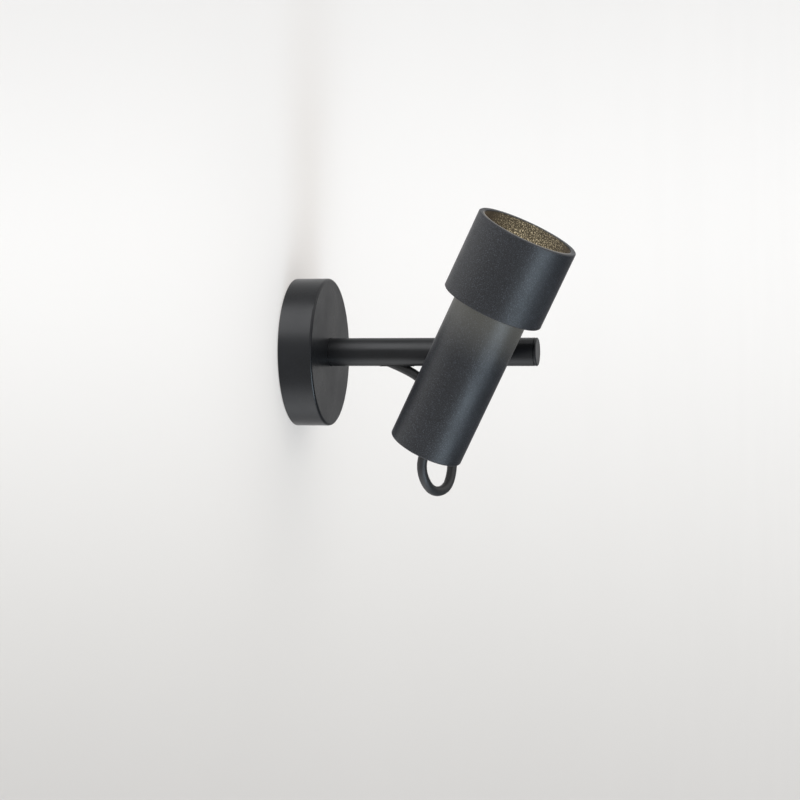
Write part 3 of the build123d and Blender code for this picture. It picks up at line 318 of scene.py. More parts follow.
flecks = multiply(grain, peaks, grain_in.outputs["Fleck Share"])
feed(grain, grain_out, {
    "Color": mix_colors(
        grain, flecks, grain_in.outputs["Coat Color"], grain_in.outputs["Fleck Color"],
    ),
    "Roughness": ramp(
        grain, bump_height, *NOISE_SPAN, grain_in.outputs["Rough"], grain_in.outputs["Smooth"],
    ),
    "Height": bump_height,
})
print("group", grain.name, "with", len(grain.nodes), "nodes")

# %% [markdown]
# ### Drift
#
# No sprayed skin is the same all over. Stains could be painted on, but a slow noise, a few
# centimetres from crest to crest, makes the coat a touch lighter and duller in places, which stops
# large plain faces from looking flat.

# %% Group: drift
drift, drift_in, drift_out = new_group(
    "drift",
    [
        ("Coordinates", VECTOR, None),
        ("Color", COLOR, (0.02, 0.02, 0.02, 1)),
        ("Roughness", FLOAT, 0.4),
        ("Patches per Metre", FLOAT, 35.0),
        ("Tone Amount", FLOAT, 0.15),
        ("Roughness Amount", FLOAT, 0.06),
    ],
    [("Color", COLOR), ("Roughness", FLOAT)],
)
patches = add(drift, "ShaderNodeTexNoise")
feed(drift, patches, {
    "Vector": drift_in.outputs["Coordinates"],
    "Scale": drift_in.outputs["Patches per Metre"],
    "Detail": 3.0,
    "Roughness": 0.5,
})
swing = ramp(drift, patches.outputs["Fac"], *NOISE_SPAN, -1.0, 1.0)
tone = add(drift, "ShaderNodeMath", operation="MULTIPLY_ADD")
feed(drift, tone, {0: swing, 1: drift_in.outputs["Tone Amount"], 2: 1.0})
dulled = add(drift, "ShaderNodeMath", operation="MULTIPLY_ADD")
feed(drift, dulled, {
    0: swing,
    1: drift_in.outputs["Roughness Amount"],
    2: drift_in.outputs["Roughness"],
})
feed(drift, drift_out, {
    "Color": scale_vector(drift, drift_in.outputs["Color"], tone.outputs[0]),
    "Roughness": dulled.outputs[0],
})
print("group", drift.name, "with", len(drift.nodes), "nodes")

# %% [markdown]
# ### Place on the head
#
# The lamp's warm light spills into the ring and down over the tube, so those finishes need to know
# how far along the head's axis, and how far from it and on which side, each point lies. UV maps
# could carry that, but a dot product and a subtraction on Object coordinates give it too, because
# every piece keeps its place in its mesh.

# %% Group: head_place
place, place_in, place_out = new_group(
    "head_place",
    [("Coordinates", VECTOR, None)],
    [("Station", FLOAT), ("Radius", FLOAT), ("Outward", VECTOR)],
)
from_pivot = add(place, "ShaderNodeVectorMath", operation="SUBTRACT")
feed(place, from_pivot, {0: place_in.outputs["Coordinates"], 1: tuple(head_centre)})
station = dot(place, from_pivot.outputs[0], tuple(head_up))
outward = add(place, "ShaderNodeVectorMath", operation="SUBTRACT")
feed(place, outward, {0: from_pivot.outputs[0], 1: scale_vector(place, tuple(head_up), station)})
radius = add(place, "ShaderNodeVectorMath", operation="LENGTH")
feed(place, radius, {0: outward.outputs[0]})
feed(place, place_out, {
    "Station": station,
    "Radius": radius.outputs["Value"],
    "Outward": outward.outputs[0],
})
print("group", place.name, "with", len(place.nodes), "nodes")

# %% [markdown]
# ### Drawn metal
#
# Rolled plate and turned bars carry fine parallel lines. Wave bands would be too even. Noise on
# coordinates that are squeezed across the lines and stretched along them gives uneven streaks. The
# squeeze says which way they run.

# %% Group: streaks
streaks, streaks_in, streaks_out = new_group(
    "streaks",
    [
        ("Coordinates", VECTOR, None),
        ("Squeeze", VECTOR, (300.0, 4000.0, 300.0)),
        ("Color", COLOR, (0.5, 0.5, 0.5, 1)),
        ("Dark Color", COLOR, (0.35, 0.35, 0.35, 1)),
        ("Smooth", FLOAT, 0.25),
        ("Rough", FLOAT, 0.4),
    ],
    [("Color", COLOR), ("Roughness", FLOAT), ("Height", FLOAT)],
)
squeezed = add(streaks, "ShaderNodeVectorMath", operation="MULTIPLY")
feed(streaks, squeezed, {0: streaks_in.outputs["Coordinates"], 1: streaks_in.outputs["Squeeze"]})
lines = add(streaks, "ShaderNodeTexNoise")
feed(streaks, lines, {
    "Vector": squeezed.outputs[0],
    "Scale": 1.0,
    "Detail": 4.0,
    "Roughness": 0.65,
})
line_height = lines.outputs["Fac"]
feed(streaks, streaks_out, {
    "Color": mix_colors(
        streaks, line_height, streaks_in.outputs["Dark Color"], streaks_in.outputs["Color"],
    ),
    "Roughness": ramp(
        streaks,
        line_height,
        *NOISE_SPAN,
        streaks_in.outputs["Rough"],
        streaks_in.outputs["Smooth"],
    ),
    "Height": line_height,
})
print("group", streaks.name, "with", len(streaks.nodes), "nodes")

# %% [markdown]
# ## Finishes
#
# Each finish starts from the same bare material: a Principled shader, whose plain values sit on its
# own sockets, and Object coordinates, because every piece keeps its place in its mesh. The groups
# are then placed in front of the shader.

# %% Builders: a bare material and a placed group


def bare_material(name, **sockets):
    """A material with its shader, whose plain values sit on its own sockets."""
    material = bpy.data.materials.new(name)
    material.use_nodes = True
    tree = material.node_tree
    shader = tree.nodes["Principled BSDF"]
    for label, value in sockets.items():
        shader.inputs[label.replace("_", " ")].default_value = value
    coordinates = add(tree, "ShaderNodeTexCoord").outputs["Object"]
    return material, tree, shader, coordinates


def place_group(tree, group, sources):
    """A group placed in a material, with its own values and links."""
    made = tree.nodes.new("ShaderNodeGroup")
    made.node_tree = group
    return feed(tree, made, sources)


print("material builders ready")

# %% [markdown]
# ### From a skin to the shader
#
# Sprayed and moulded finishes have the grain as their skin, and bare metal has the streaks. Each
# finish could be wired on its own, but what comes after the skin is the same for all: the drift,
# and a Bump node for the height.

# %% Builders: sprayed, moulded and drawn finishes


def cover(tree, shader, coordinates, skin, depth, **drift_values):
    """Sends a skin's colour and roughness through the drift, and its height through a bump."""
    worn = place_group(tree, drift, {
        "Coordinates": coordinates,
        "Color": skin.outputs["Color"],
        "Roughness": skin.outputs["Roughness"],
        **{label.replace("_", " "): value for label, value in drift_values.items()},
    })
    bump = add(tree, "ShaderNodeBump")
    feed(tree, bump, {"Height": skin.outputs["Height"], "Distance": depth, "Strength": 1.0})
    feed(tree, shader, {
        "Base Color": worn.outputs["Color"],
        "Roughness": worn.outputs["Roughness"],
        "Normal": bump.outputs["Normal"],
    })


def grainy(name, coat, fleck, cells, share, smooth, rough, depth, **sockets):
    """A sprayed or moulded finish: grain, then drift, then the shader."""
    material, tree, shader, coordinates = bare_material(name, **sockets)
    skin = place_group(tree, grain, {
        "Coordinates": coordinates,
        "Coat Color": (*coat, 1),
        "Fleck Color": (*fleck, 1),
        "Cells per Metre": cells,
        "Fleck Share": share,
        "Smooth": smooth,
        "Rough": rough,
    })
    cover(tree, shader, coordinates, skin, depth)
    return material, tree, shader, coordinates


def drawn(name, color, dark, squeeze, smooth, rough, depth):
    """Bare or plated metal with fine parallel lines."""
    material, tree, shader, coordinates = bare_material(name, Metallic=1.0)
    skin = place_group(tree, streaks, {
        "Coordinates": coordinates,
        "Squeeze": squeeze,
        "Color": (*color, 1),
        "Dark Color": (*dark, 1),
        "Smooth": smooth,
        "Rough": rough,
    })
    cover(tree, shader, coordinates, skin, depth, Tone_Amount=0.08, Patches_per_Metre=60.0)
    return material


def dress(material, *names):
    """Puts one finish on several solids."""
    for name in names:
        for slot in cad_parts[name].material_slots:
            slot.material = material


print("finish builders ready")

# %% [markdown]
# ### Powder coat on rose, arm and head
#
# All the visible metal is sprayed in one anthracite. The head and ring have the coarser texture,
# and the arm and rose a finer one with a little more shine. One coat for all would be simpler, but
# the photograph shows flecks on the head and none on the arm.

# %% Coats of rose and arm
FINE_COAT = dict(
    coat=(0.0042, 0.0046, 0.0056),
    fleck=(0.07, 0.073, 0.08),
    cells=2600.0,
    rough=0.35,
)
rose_coat = grainy(
    "rose_coat", **FINE_COAT, share=0.08, smooth=0.27, depth=0.02 * MM, Specular_IOR_Level=0.28,
)[0]
arm_coat = grainy(
    "arm_coat", **FINE_COAT, share=0.03, smooth=0.28, depth=0.015 * MM, Specular_IOR_Level=0.29,
)[0]
dress(rose_coat, "rose_cover")
dress(arm_coat, "arm_tube", "arm_end_plug", "pivot_boss")
print(rose_coat.name, arm_coat.name)

# %% [markdown]
# ### The head's coat and the lamp's spill
#
# The lamp is on in the photograph, and its light fades over the tube just below the ring. The lamp
# alone could light the tube, but so thin a gap needs very many samples. A low emission with a mask
# on the head's station says it on the surface itself, so it stays with the head at every tilt.

# %% Coat of the tube, with warm light below the ring
BLACK = (0, 0, 0, 1)
SPILL_GLOW = (0.062, 0.0605, 0.051, 1)
HEAD_COAT = dict(
    coat=(0.0055, 0.006, 0.0075),
    fleck=(0.085, 0.094, 0.115),
    cells=1900.0,
    share=0.5,
    smooth=0.36,
    rough=0.52,
    depth=0.11 * MM,
    Specular_IOR_Level=0.37,
)
spill_start = 3 * MM
ring_bottom = 41.8 * MM

head_coat = grainy("head_coat", **HEAD_COAT)[0]
body_coat, body_tree, body_shader, body_coordinates = grainy(
    "body_coat", **HEAD_COAT, Emission_Strength=1.0,
)
body_place = place_group(body_tree, place, {"Coordinates": body_coordinates})
spill = ramp(
    body_tree, body_place.outputs["Station"], spill_start, ring_bottom, kind="SMOOTHSTEP",
)
feed(body_tree, body_shader, {"Emission Color": mix_colors(body_tree, spill, BLACK, SPILL_GLOW)})
dress(body_coat, "body_tube")
dress(head_coat, "head_saddle", "tail_cap", "shade_spider")
print(body_coat.name, "and", head_coat.name)

# %% [markdown]
# ### The ring's coat, lit inside
#
# Inside the ring each bump of the coat catches the lamp as a warm speck. The lamp alone could draw
# the specks, but only with very many samples. So they are painted light: the same grain again, as
# emission, kept to the bore by the radius. They are strongest near the lamp and on the far side,
# whose inner face the photograph shows. On the near side the inner edge carries a painted
# highlight, a thin pale line of emission. The coat itself is dark and dull inside, or the lamp's
# own light would wash the specks out.

# %% Coat of the ring, with the lit speckle inside
BORE_COAT = (0.003, 0.003, 0.0025, 1)
BORE_ROUGHNESS = 0.95
BORE_SHADE = (0.055, 0.047, 0.029, 1)
BORE_SPECK = (0.98, 0.83, 0.54, 1)
SPECKS_PER_METRE = 1500.0
EDGE_GLOW = (0.2, 0.18, 0.15, 1)
MOUTH_LIT = 0.6
SIDES_LIT = 0.05
ring_top = 95.9 * MM
ring_bore = 30.0 * MM
ring_edge = 0.6 * MM
lamp_station = 72 * MM
bore_skin = (ring_bore + 0.1 * MM, ring_bore + 0.5 * MM)
far_side = (0.42 * ring_bore, ring_bore)
near_side = (0.0, -0.5 * ring_bore)
inner_edge = (ring_bore + 2 * ring_edge, ring_bore + 3 * ring_edge)
top_edge = (ring_top - 2 * ring_edge, ring_top - ring_edge)

ring_coat, ring_tree, ring_shader, ring_coordinates = grainy(
    "ring_coat", **HEAD_COAT, Emission_Strength=1.0,
)
ring_place = place_group(ring_tree, place, {"Coordinates": ring_coordinates})
ring_station = ring_place.outputs["Station"]
ring_radius = ring_place.outputs["Radius"]
ring_side = dot(ring_tree, ring_place.outputs["Outward"], (0, 1, 0))

inside = ramp(ring_tree, ring_radius, *bore_skin, 1.0, 0.0)
depth_lit = ramp(ring_tree, ring_station, lamp_station, ring_top, 1.0, MOUTH_LIT)
side_lit = ramp(ring_tree, ring_side, *far_side, SIDES_LIT, 1.0)
lit = multiply(ring_tree, multiply(ring_tree, inside, depth_lit), side_lit)
speckle = place_group(ring_tree, grain, {
    "Coordinates": ring_coordinates,
    "Coat Color": BORE_SHADE,
    "Fleck Color": BORE_SPECK,
    "Cells per Metre": SPECKS_PER_METRE,
    "Fleck Share": 1.0,
})
lit_speckle = scale_vector(ring_tree, speckle.outputs["Color"], lit)

# Painted highlight: a thin pale line of emission on the near side's inner edge.
at_edge = ramp(ring_tree, ring_radius, *inner_edge, 1.0, 0.0)
at_top = ramp(ring_tree, ring_station, *top_edge)
at_near_side = ramp(ring_tree, ring_side, *near_side)
edge_lit = multiply(ring_tree, multiply(ring_tree, at_edge, at_top), at_near_side)

coat_color = ring_shader.inputs["Base Color"].links[0].from_socket
coat_roughness = ring_shader.inputs["Roughness"].links[0].from_socket
dull = add(ring_tree, "ShaderNodeMix")
feed(ring_tree, dull, {"Factor": inside, 2: coat_roughness, 3: BORE_ROUGHNESS})
feed(ring_tree, ring_shader, {
    "Base Color": mix_colors(ring_tree, inside, coat_color, BORE_COAT),
    "Roughness": dull.outputs[0],
    "Emission Color": mix_colors(ring_tree, edge_lit, lit_speckle, EDGE_GLOW),
})
dress(ring_coat, "shade_ring")
print(ring_coat.name, "with a lit bore")

# %% [markdown]
# ### Rubber, plastic and ceramic
#
# These are moulded, so they have grain without streaks. They differ only in their values, so one
# table says them all. Black rubber and the flex keep the shader's specular level low, or a matt
# cable would shine like paint.

# %% Moulded finishes
MOULDED = [
    # name, coat, fleck, cells per metre, fleck share, smooth, rough, depth in mm, specular, solids
    ("flex_sheath", (0.012, 0.012, 0.0125), (0.05, 0.05, 0.05), 2200.0, 0.2, 0.42, 0.55, 0.02, 0.4,
     ["head_cord", "supply_lead"]),
    ("black_rubber", (0.01, 0.01, 0.01), (0.04, 0.04, 0.04), 1500.0, 0.2, 0.55, 0.7, 0.03, 0.35,
     ["cable_grommet"]),
    ("black_nylon", (0.012, 0.012, 0.012), (0.05, 0.05, 0.05), 1800.0, 0.2, 0.4, 0.5, 0.02, 0.5,
     ["cord_grip", "grip_nut"]),
    ("washer_nylon", (0.7, 0.69, 0.65), (0.8, 0.8, 0.78), 900.0, 0.4, 0.35, 0.5, 0.01, 0.5,
     ["swivel_friction_washer", "tilt_friction_washer"]),
    ("terminal_plastic", (0.72, 0.72, 0.69), (0.8, 0.8, 0.78), 900.0, 0.4, 0.35, 0.5, 0.01, 0.5,
     ["terminal_block"]),
    ("lead_insulation", (0.62, 0.6, 0.55), (0.7, 0.69, 0.66), 1200.0, 0.4, 0.35, 0.5, 0.01, 0.5,
     ["lamp_leads", "rose_leads"]),
    ("holder_ceramic", (0.7, 0.67, 0.6), (0.5, 0.47, 0.4), 1400.0, 0.5, 0.6, 0.8, 0.04, 0.5,
     ["lampholder"]),
    ("lamp_ceramic", (0.76, 0.74, 0.7), (0.6, 0.58, 0.52), 1400.0, 0.4, 0.3, 0.45, 0.02, 0.5,
     ["lamp_base"]),
]
moulded = {}
for name, coat, fleck, cells, share, smooth, rough, depth, specular, solids in MOULDED:
    moulded[name] = grainy(
        name, coat, fleck, cells, share, smooth, rough, depth * MM, Specular_IOR_Level=specular,
    )[0]
    dress(moulded[name], *solids)
flex.data.materials.append(moulded["flex_sheath"])
print("moulded finishes:", len(moulded))

# %% [markdown]
# ### Bare and plated metal
#
# The plate on the wall and the brackets are zinc-plated sheet, rolled along Z. Screws, pins and
# the swivel's spigot are turned, and the bush is bronze. One plain grey would do for all of them,
# but the drawn lines tell sheet from turned metal. A large squeeze packs the lines close along its
# axis, and a small one draws them out.

# %% Metal finishes
METALS = [
    # name, color, dark color, squeeze, smooth, rough, depth in mm, solids
    ("zinc_plate", (0.62, 0.63, 0.64), (0.48, 0.49, 0.5), (2500.0, 2500.0, 60.0), 0.3, 0.46, 0.01,
     ["back_plate", "swivel_bridge", "holder_bracket"]),
    ("screw_steel", (0.5, 0.5, 0.51), (0.36, 0.36, 0.37), (3000.0, 3000.0, 3000.0), 0.28, 0.42,
     0.01, ["bridge_screws", "swivel_stop_pin", "terminal_screws", "terminal_fixing_screw",
            "cover_screw", "swivel_spring_washer", "swivel_nut", "pivot_disc_springs",
            "pivot_nut", "tilt_stop_pin", "pivot_bolt", "tail_screw", "holder_screws",
            "shade_screws"]),
    ("machined_steel", (0.56, 0.56, 0.57), (0.42, 0.42, 0.43), (4000.0, 200.0, 200.0), 0.2, 0.34,
     0.01, ["swivel_spigot", "pivot_slug"]),
    ("machined_aluminium", (0.75, 0.75, 0.76), (0.6, 0.6, 0.61), (200.0, 4000.0, 200.0), 0.25, 0.4,
     0.01, ["inner_saddle"]),
    ("bronze", (0.6, 0.4, 0.2), (0.42, 0.27, 0.12), (4000.0, 300.0, 300.0), 0.25, 0.4, 0.01,
     ["swivel_bush", "earth_screw"]),
    ("bright_pin", (0.8, 0.8, 0.8), (0.65, 0.65, 0.65), (200.0, 200.0, 4000.0), 0.1, 0.2, 0.005,
     ["lamp_pins"]),
]
for name, color, dark, squeeze, smooth, rough, depth, solids in METALS:
    dress(drawn(name, color, dark, squeeze, smooth, rough, depth * MM), *solids)
print("metal finishes:", len(METALS))

# %% [markdown]
# ## The lamp
#
# The lamp's lens is pressed glass with round ridges that spread the beam. The ridges could be a
# bump in the material, but a real profile shows them from every side. Half of it is drawn and spun
# once round the head's axis, as on a lathe.

# %% Ridged lens
WELD = 0.01 * MM
LENS_STEPS = 96
lens_bottom = 72.2 * MM
lens_top = 73.6 * MM
lens_radius = 23.5 * MM
lens_rim = 1.5 * MM
ridge_width = 2.0 * MM
ridge_height = 0.35 * MM
ridge_slope_share = 0.7


def turn(name, outline, axes, steps):
    """An outline of (along, out) points, spun once round the Z axis of its own axes."""
    mesh = bmesh.new()
    line = [mesh.verts.new(axes @ Vector((out, 0, along))) for along, out in outline]
    edges = [mesh.edges.new(pair) for pair in zip(line, line[1:])]
    bmesh.ops.spin(
        mesh,
        geom=line + edges,
        cent=axes.translation,
        axis=axes.col[2].xyz,
        angle=tau,
        steps=steps,
        use_merge=True,
    )
    bmesh.ops.remove_doubles(mesh, verts=mesh.verts, dist=WELD)
    bmesh.ops.recalc_face_normals(mesh, faces=mesh.faces)
    data = bpy.data.meshes.new(name)
    mesh.to_mesh(data)
    mesh.free()
    made = bpy.data.objects.new(name, data)
    scene.collection.objects.link(made)
    return made


lens_outline = [(lens_bottom, 0), (lens_bottom, lens_radius), (lens_top, lens_radius)]
ridge_edge = lens_radius - lens_rim
while ridge_edge > ridge_width:
    lens_outline.append((lens_top - ridge_height, ridge_edge))
    lens_outline.append((lens_top, ridge_edge - ridge_width * ridge_slope_share))
    ridge_edge -= ridge_width
lens_outline.append((lens_top, 0))
lens = turn("lamp_lens_ridged", lens_outline, head_frame, LENS_STEPS)
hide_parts("lamp_lens")
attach(lens, "head")
print("lens faces", len(lens.data.polygons))

# %% [markdown]
# ### The glowing glass
#
# The lens glows: its middle is brightest, and the ridges break the light into rings. A lens as
# bright as a real one would be a plain white disc in the picture, so the camera sees a softer glow
# than the one that lights the ring and the wall. Light Path tells the two apart.

# %% Glass of the lamp
WARM_LAMP = (1.0, 0.86, 0.64, 1)
AMBER_RIM = (0.55, 0.3, 0.12, 1)
LAMP_LIGHT = 13.0
LENS_GLARE = 1.15
RIM_LIT = 0.3
RIDGE_LIT = 0.6
bright_middle = 4 * MM

lens_glass, lens_tree, lens_shader, lens_coordinates = bare_material("lens_glass")
lens_place = place_group(lens_tree, place, {"Coordinates": lens_coordinates})
from_axis = lens_place.outputs["Radius"]
brightness = ramp(
    lens_tree, from_axis, bright_middle, lens_radius, 1.0, RIM_LIT, kind="SMOOTHSTEP",
)
ridge_count = add(lens_tree, "ShaderNodeMath", operation="DIVIDE")
feed(lens_tree, ridge_count, {0: from_axis, 1: ridge_width})
ridge_phase = add(lens_tree, "ShaderNodeMath", operation="FRACT")
feed(lens_tree, ridge_phase, {0: ridge_count.outputs[0]})
ridge_light = ramp(lens_tree, ridge_phase.outputs[0], 0.0, 1.0, RIDGE_LIT, 1.0)
ringed = multiply(lens_tree, brightness, ridge_light)
seen_by_camera = add(lens_tree, "ShaderNodeLightPath").outputs["Is Camera Ray"]
pressed = place_group(lens_tree, grain, {
    "Coordinates": lens_coordinates,
    "Coat Color": (0.75, 0.7, 0.6, 1),
    "Fleck Color": (0.85, 0.82, 0.75, 1),
    "Cells per Metre": 800.0,
    "Smooth": 0.05,
    "Rough": 0.12,
})
feed(lens_tree, lens_shader, {
    "Base Color": pressed.outputs["Color"],
    "Roughness": pressed.outputs["Roughness"],
    "Emission Color": mix_colors(lens_tree, ringed, AMBER_RIM, WARM_LAMP),
    "Emission Strength": ramp(lens_tree, seen_by_camera, 0.0, 1.0, LAMP_LIGHT, LENS_GLARE),
})
lens.data.materials.append(lens_glass)
dress(lens_glass, "lamp_lens")

reflector_glass = grainy(
    "reflector_glass",
    coat=(0.55, 0.5, 0.42),
    fleck=(0.65, 0.6, 0.5),
    cells=700.0,
    share=0.4,
    smooth=0.12,
    rough=0.25,
    depth=0.02 * MM,
    Metallic=0.6,
)[0]
dress(reflector_glass, "lamp_reflector")
print("lamp glass ready")

# %% [markdown]
# ## The arm's end plug
#
# The plug that closes the tube is turned from a bar, and the photograph shows its fine groove
# close to the end. The groove could be a dark line in the coat, but a cut one holds its own
# shadow. The same lathe helper spins half of the plug's outline round the arm's axis.

# %% Turned end plug
PLUG_STEPS = 64
PLUG_SHARP_ANGLE = radians(20)
arm_axes = Matrix(((0, 0, 1), (0, -1, 0), (1, 0, 0))).to_4x4()
arm_end = 165.5 * MM
arm_radius = 9.5 * MM
tube_end = 162.5 * MM
plug_shank = 7.95 * MM
plug_start = 152.5 * MM
plug_bevel = 1.0 * MM
plug_edge = 0.5 * MM
groove_centre = 163.7 * MM
groove_half = 0.4 * MM
groove_depth = 0.8 * MM

plug = turn("arm_end_plug_turned", [
    (plug_start, 0),
    (plug_start, plug_shank - plug_bevel),
    (plug_start + plug_bevel, plug_shank),
    (tube_end, plug_shank),
    (tube_end, arm_radius),
    (groove_centre - groove_half, arm_radius),
    (groove_centre - groove_half / 2, arm_radius - groove_depth),
    (groove_centre + groove_half / 2, arm_radius - groove_depth),
    (groove_centre + groove_half, arm_radius),
    (arm_end - plug_edge, arm_radius),
    (arm_end, arm_radius - plug_edge),
    (arm_end, 0),
], arm_axes, PLUG_STEPS)
plug.data.materials.append(arm_coat)
plug.data.shade_smooth()
plug.data.set_sharp_from_angle(angle=PLUG_SHARP_ANGLE)
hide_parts("arm_end_plug")
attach(plug, "arm")
print("end plug faces", len(plug.data.polygons))

# %% [markdown]
# ## Stage
#
# The light hangs on a pale wall, far above a pale floor. The wall shows only from its front and
# has a round hole behind the rose, so that views from behind still see the plate in plain light.
# Both are hidden from reflections and from shadow rays: a dark coat shows its form by the soft
# boxes that it mirrors, and a wall this close would stand in front of half of them.
#
# The photograph's wall is palest beside the head and darker below, in bands that lie level in the
# picture. This falloff is painted shade in the wall's colour. A ramp along Z would slope there,
# because the wall runs away from the camera. So the painted shade follows lines that fan out from
# one point on the wall: the height over that point is divided by the distance from it. A part of
# the wall's brightness is its own glow, which keeps the light's shadows on it faint.

# %% Paint of wall and floor
FAN_POINT = (0.0, -1.394, 0.236)
FAN_LEAST = 0.5
FAN_SPAN = (-0.42, 0.0)
# Painted shade: the wall's tones along the fan, darker below and palest beside the head.
WALL_TONES = [
    (0.0, (0.535, 0.514, 0.495)),
    (0.27, (0.648, 0.626, 0.602)),
    (0.5, (0.745, 0.722, 0.7)),
    (0.74, (0.86, 0.836, 0.815)),
    (1.0, (0.735, 0.714, 0.696)),
]
FLOOR_TONES = [
    (0.0, (0.63, 0.63, 0.625)),
    (1.0, (0.66, 0.66, 0.655)),
]
STAGE_SHADE = 0.62
STAGE_GLOW = 0.44


def pale_stage(name, tones):
    """A matt stage finish, painted with shade along the fan, that can't be seen from behind."""
    material, tree, shader, coordinates = bare_material(
        name, Roughness=0.9, Specular_IOR_Level=0.1, Emission_Strength=STAGE_GLOW,
    )
    from_fan = add(tree, "ShaderNodeVectorMath", operation="SUBTRACT")
    feed(tree, from_fan, {0: coordinates, 1: FAN_POINT})
    parts = add(tree, "ShaderNodeSeparateXYZ")
    feed(tree, parts, {0: from_fan.outputs[0]})
    away = add(tree, "ShaderNodeMath", operation="MAXIMUM")
    feed(tree, away, {0: parts.outputs["Y"], 1: FAN_LEAST})
    slope = add(tree, "ShaderNodeMath", operation="DIVIDE")
    feed(tree, slope, {0: parts.outputs["Z"], 1: away.outputs[0]})
    # This ramp paints the shade along the fan into the base colour and the glow.
    painted_shade_ramp = add(tree, "ShaderNodeValToRGB")
    painted_shade_ramp.color_ramp.interpolation = "B_SPLINE"
    stops = painted_shade_ramp.color_ramp.elements
    for _ in tones[2:]:
        stops.new(0.5)
    for stop, (position, tone) in zip(stops, tones):
        stop.position = position
        stop.color = (*tone, 1)
    feed(tree, painted_shade_ramp, {"Fac": ramp(tree, slope.outputs[0], *FAN_SPAN)})
    painted = place_group(tree, drift, {
        "Coordinates": coordinates,
        "Color": painted_shade_ramp.outputs["Color"],
        "Patches per Metre": 2.0,
        "Tone Amount": 0.006,
    })
    feed(tree, shader, {
        "Base Color": scale_vector(tree, painted.outputs["Color"], STAGE_SHADE),
        "Emission Color": painted.outputs["Color"],
    })
    clear = add(tree, "ShaderNodeBsdfTransparent")
    facing = add(tree, "ShaderNodeNewGeometry")
    choice = add(tree, "ShaderNodeMixShader")
    feed(tree, choice, {0: facing.outputs["Backfacing"], 1: shader.outputs[0], 2: clear.outputs[0]})
    feed(tree, tree.nodes["Material Output"], {"Surface": choice.outputs[0]})
    return material


wall_paint = pale_stage("wall_paint", WALL_TONES)
floor_paint = pale_stage("floor_paint", FLOOR_TONES)
print(wall_paint.name, "and", floor_paint.name)

# %% [markdown]
# ### A wall with a hole
#
# The hole could be cut with a Boolean, but that leaves long thin faces. Here the wall is grown from
# its hole: the edges of a small circle are extruded, and each new point moves out along its own
# direction to the edge of the wall.

# %% Wall and floor
WALL_GAP = 0.5 * MM
HOLE_RADIUS = 48 * MM
HOLE_STEPS = 128
WALL_NEAR = 0.62
WALL_FAR = 30.0
WALL_HEIGHT = 8.0
FLOOR_SIZE = 30.0
NOT_ZERO = 1e-6

wall_mesh = bmesh.new()
bmesh.ops.create_circle(wall_mesh, radius=HOLE_RADIUS, segments=HOLE_STEPS)
bmesh.ops.rotate(wall_mesh, verts=wall_mesh.verts, matrix=Matrix.Rotation(pi / 2, 3, "Y"))
grown = bmesh.ops.extrude_edge_only(wall_mesh, edges=list(wall_mesh.edges))["geom"]
for corner in [item for item in grown if isinstance(item, bmesh.types.BMVert)]:
    way = corner.co.normalized()
    side = WALL_FAR if way.y > 0 else WALL_NEAR
    to_side = side / max(abs(way.y), NOT_ZERO)
    to_height = WALL_HEIGHT / max(abs(way.z), NOT_ZERO)
    corner.co = way * min(to_side, to_height)
bmesh.ops.translate(wall_mesh, verts=wall_mesh.verts, vec=(-WALL_GAP, 0, 0))
wall_data = bpy.data.meshes.new("stage_wall")
wall_mesh.to_mesh(wall_data)
wall_mesh.free()
if wall_data.polygons[0].normal.x < 0:
    wall_data.flip_normals()
wall = bpy.data.objects.new("stage_wall", wall_data)

floor_mesh = bmesh.new()
bmesh.ops.create_grid(floor_mesh, x_segments=1, y_segments=1, size=FLOOR_SIZE)
bmesh.ops.translate(floor_mesh, verts=floor_mesh.verts, vec=(0, 0, -WALL_HEIGHT))
floor_data = bpy.data.meshes.new("stage_floor")
floor_mesh.to_mesh(floor_data)
floor_mesh.free()
floor = bpy.data.objects.new("stage_floor", floor_data)

for stage_piece, paint in ((wall, wall_paint), (floor, floor_paint)):
    scene.collection.objects.link(stage_piece)
    stage_piece.data.materials.append(paint)
    stage_piece.visible_glossy = False
    stage_piece.visible_shadow = False
print("stage: wall faces", len(wall_data.polygons), "and floor")

# %% [markdown]
# ## Light
#
# Dark metal shows its shape by what it reflects, so the studio is a pale room with a few wide soft
# boxes. They could be area lights, but drawn into the world as soft rectangles far away they light
# the long wall evenly from end to end. One group says where such a box stands, how wide and long
# it is, and how softly its edges fade.

# %% Group: soft box in the world
soft_box, box_in, box_out = new_group(
    "soft_box",
    [
        ("Direction", VECTOR, None),
        ("Centre", VECTOR, (1.0, 0.0, 0.0)),
        ("Across", VECTOR, (0.0, 1.0, 0.0)),
        ("Along", VECTOR, (0.0, 0.0, 1.0)),
        ("Half Width", FLOAT, 0.3),
        ("Half Length", FLOAT, 0.6),
        ("Edge", FLOAT, 0.15),
        ("Color", COLOR, (1.0, 1.0, 1.0, 1)),
        ("Brightness", FLOAT, 1.0),
    ],
    [("Color", COLOR)],
)
box_light = box_in.outputs["Brightness"]
for axis, half in (("Across", "Half Width"), ("Along", "Half Length")):
    reach = dot(soft_box, box_in.outputs["Direction"], box_in.outputs[axis])
    spread = add(soft_box, "ShaderNodeMath", operation="ABSOLUTE")
    feed(soft_box, spread, {0: reach})
    inner = add(soft_box, "ShaderNodeMath", operation="SUBTRACT")
    feed(soft_box, inner, {0: box_in.outputs[half], 1: box_in.outputs["Edge"]})
    outer = add(soft_box, "ShaderNodeMath", operation="ADD")
    feed(soft_box, outer, {0: box_in.outputs[half], 1: box_in.outputs["Edge"]})
    fade = ramp(
        soft_box,
        spread.outputs[0],
        inner.outputs[0],
        outer.outputs[0],
        1.0,
        0.0,
        kind="SMOOTHSTEP",
    )
    box_light = multiply(soft_box, box_light, fade)
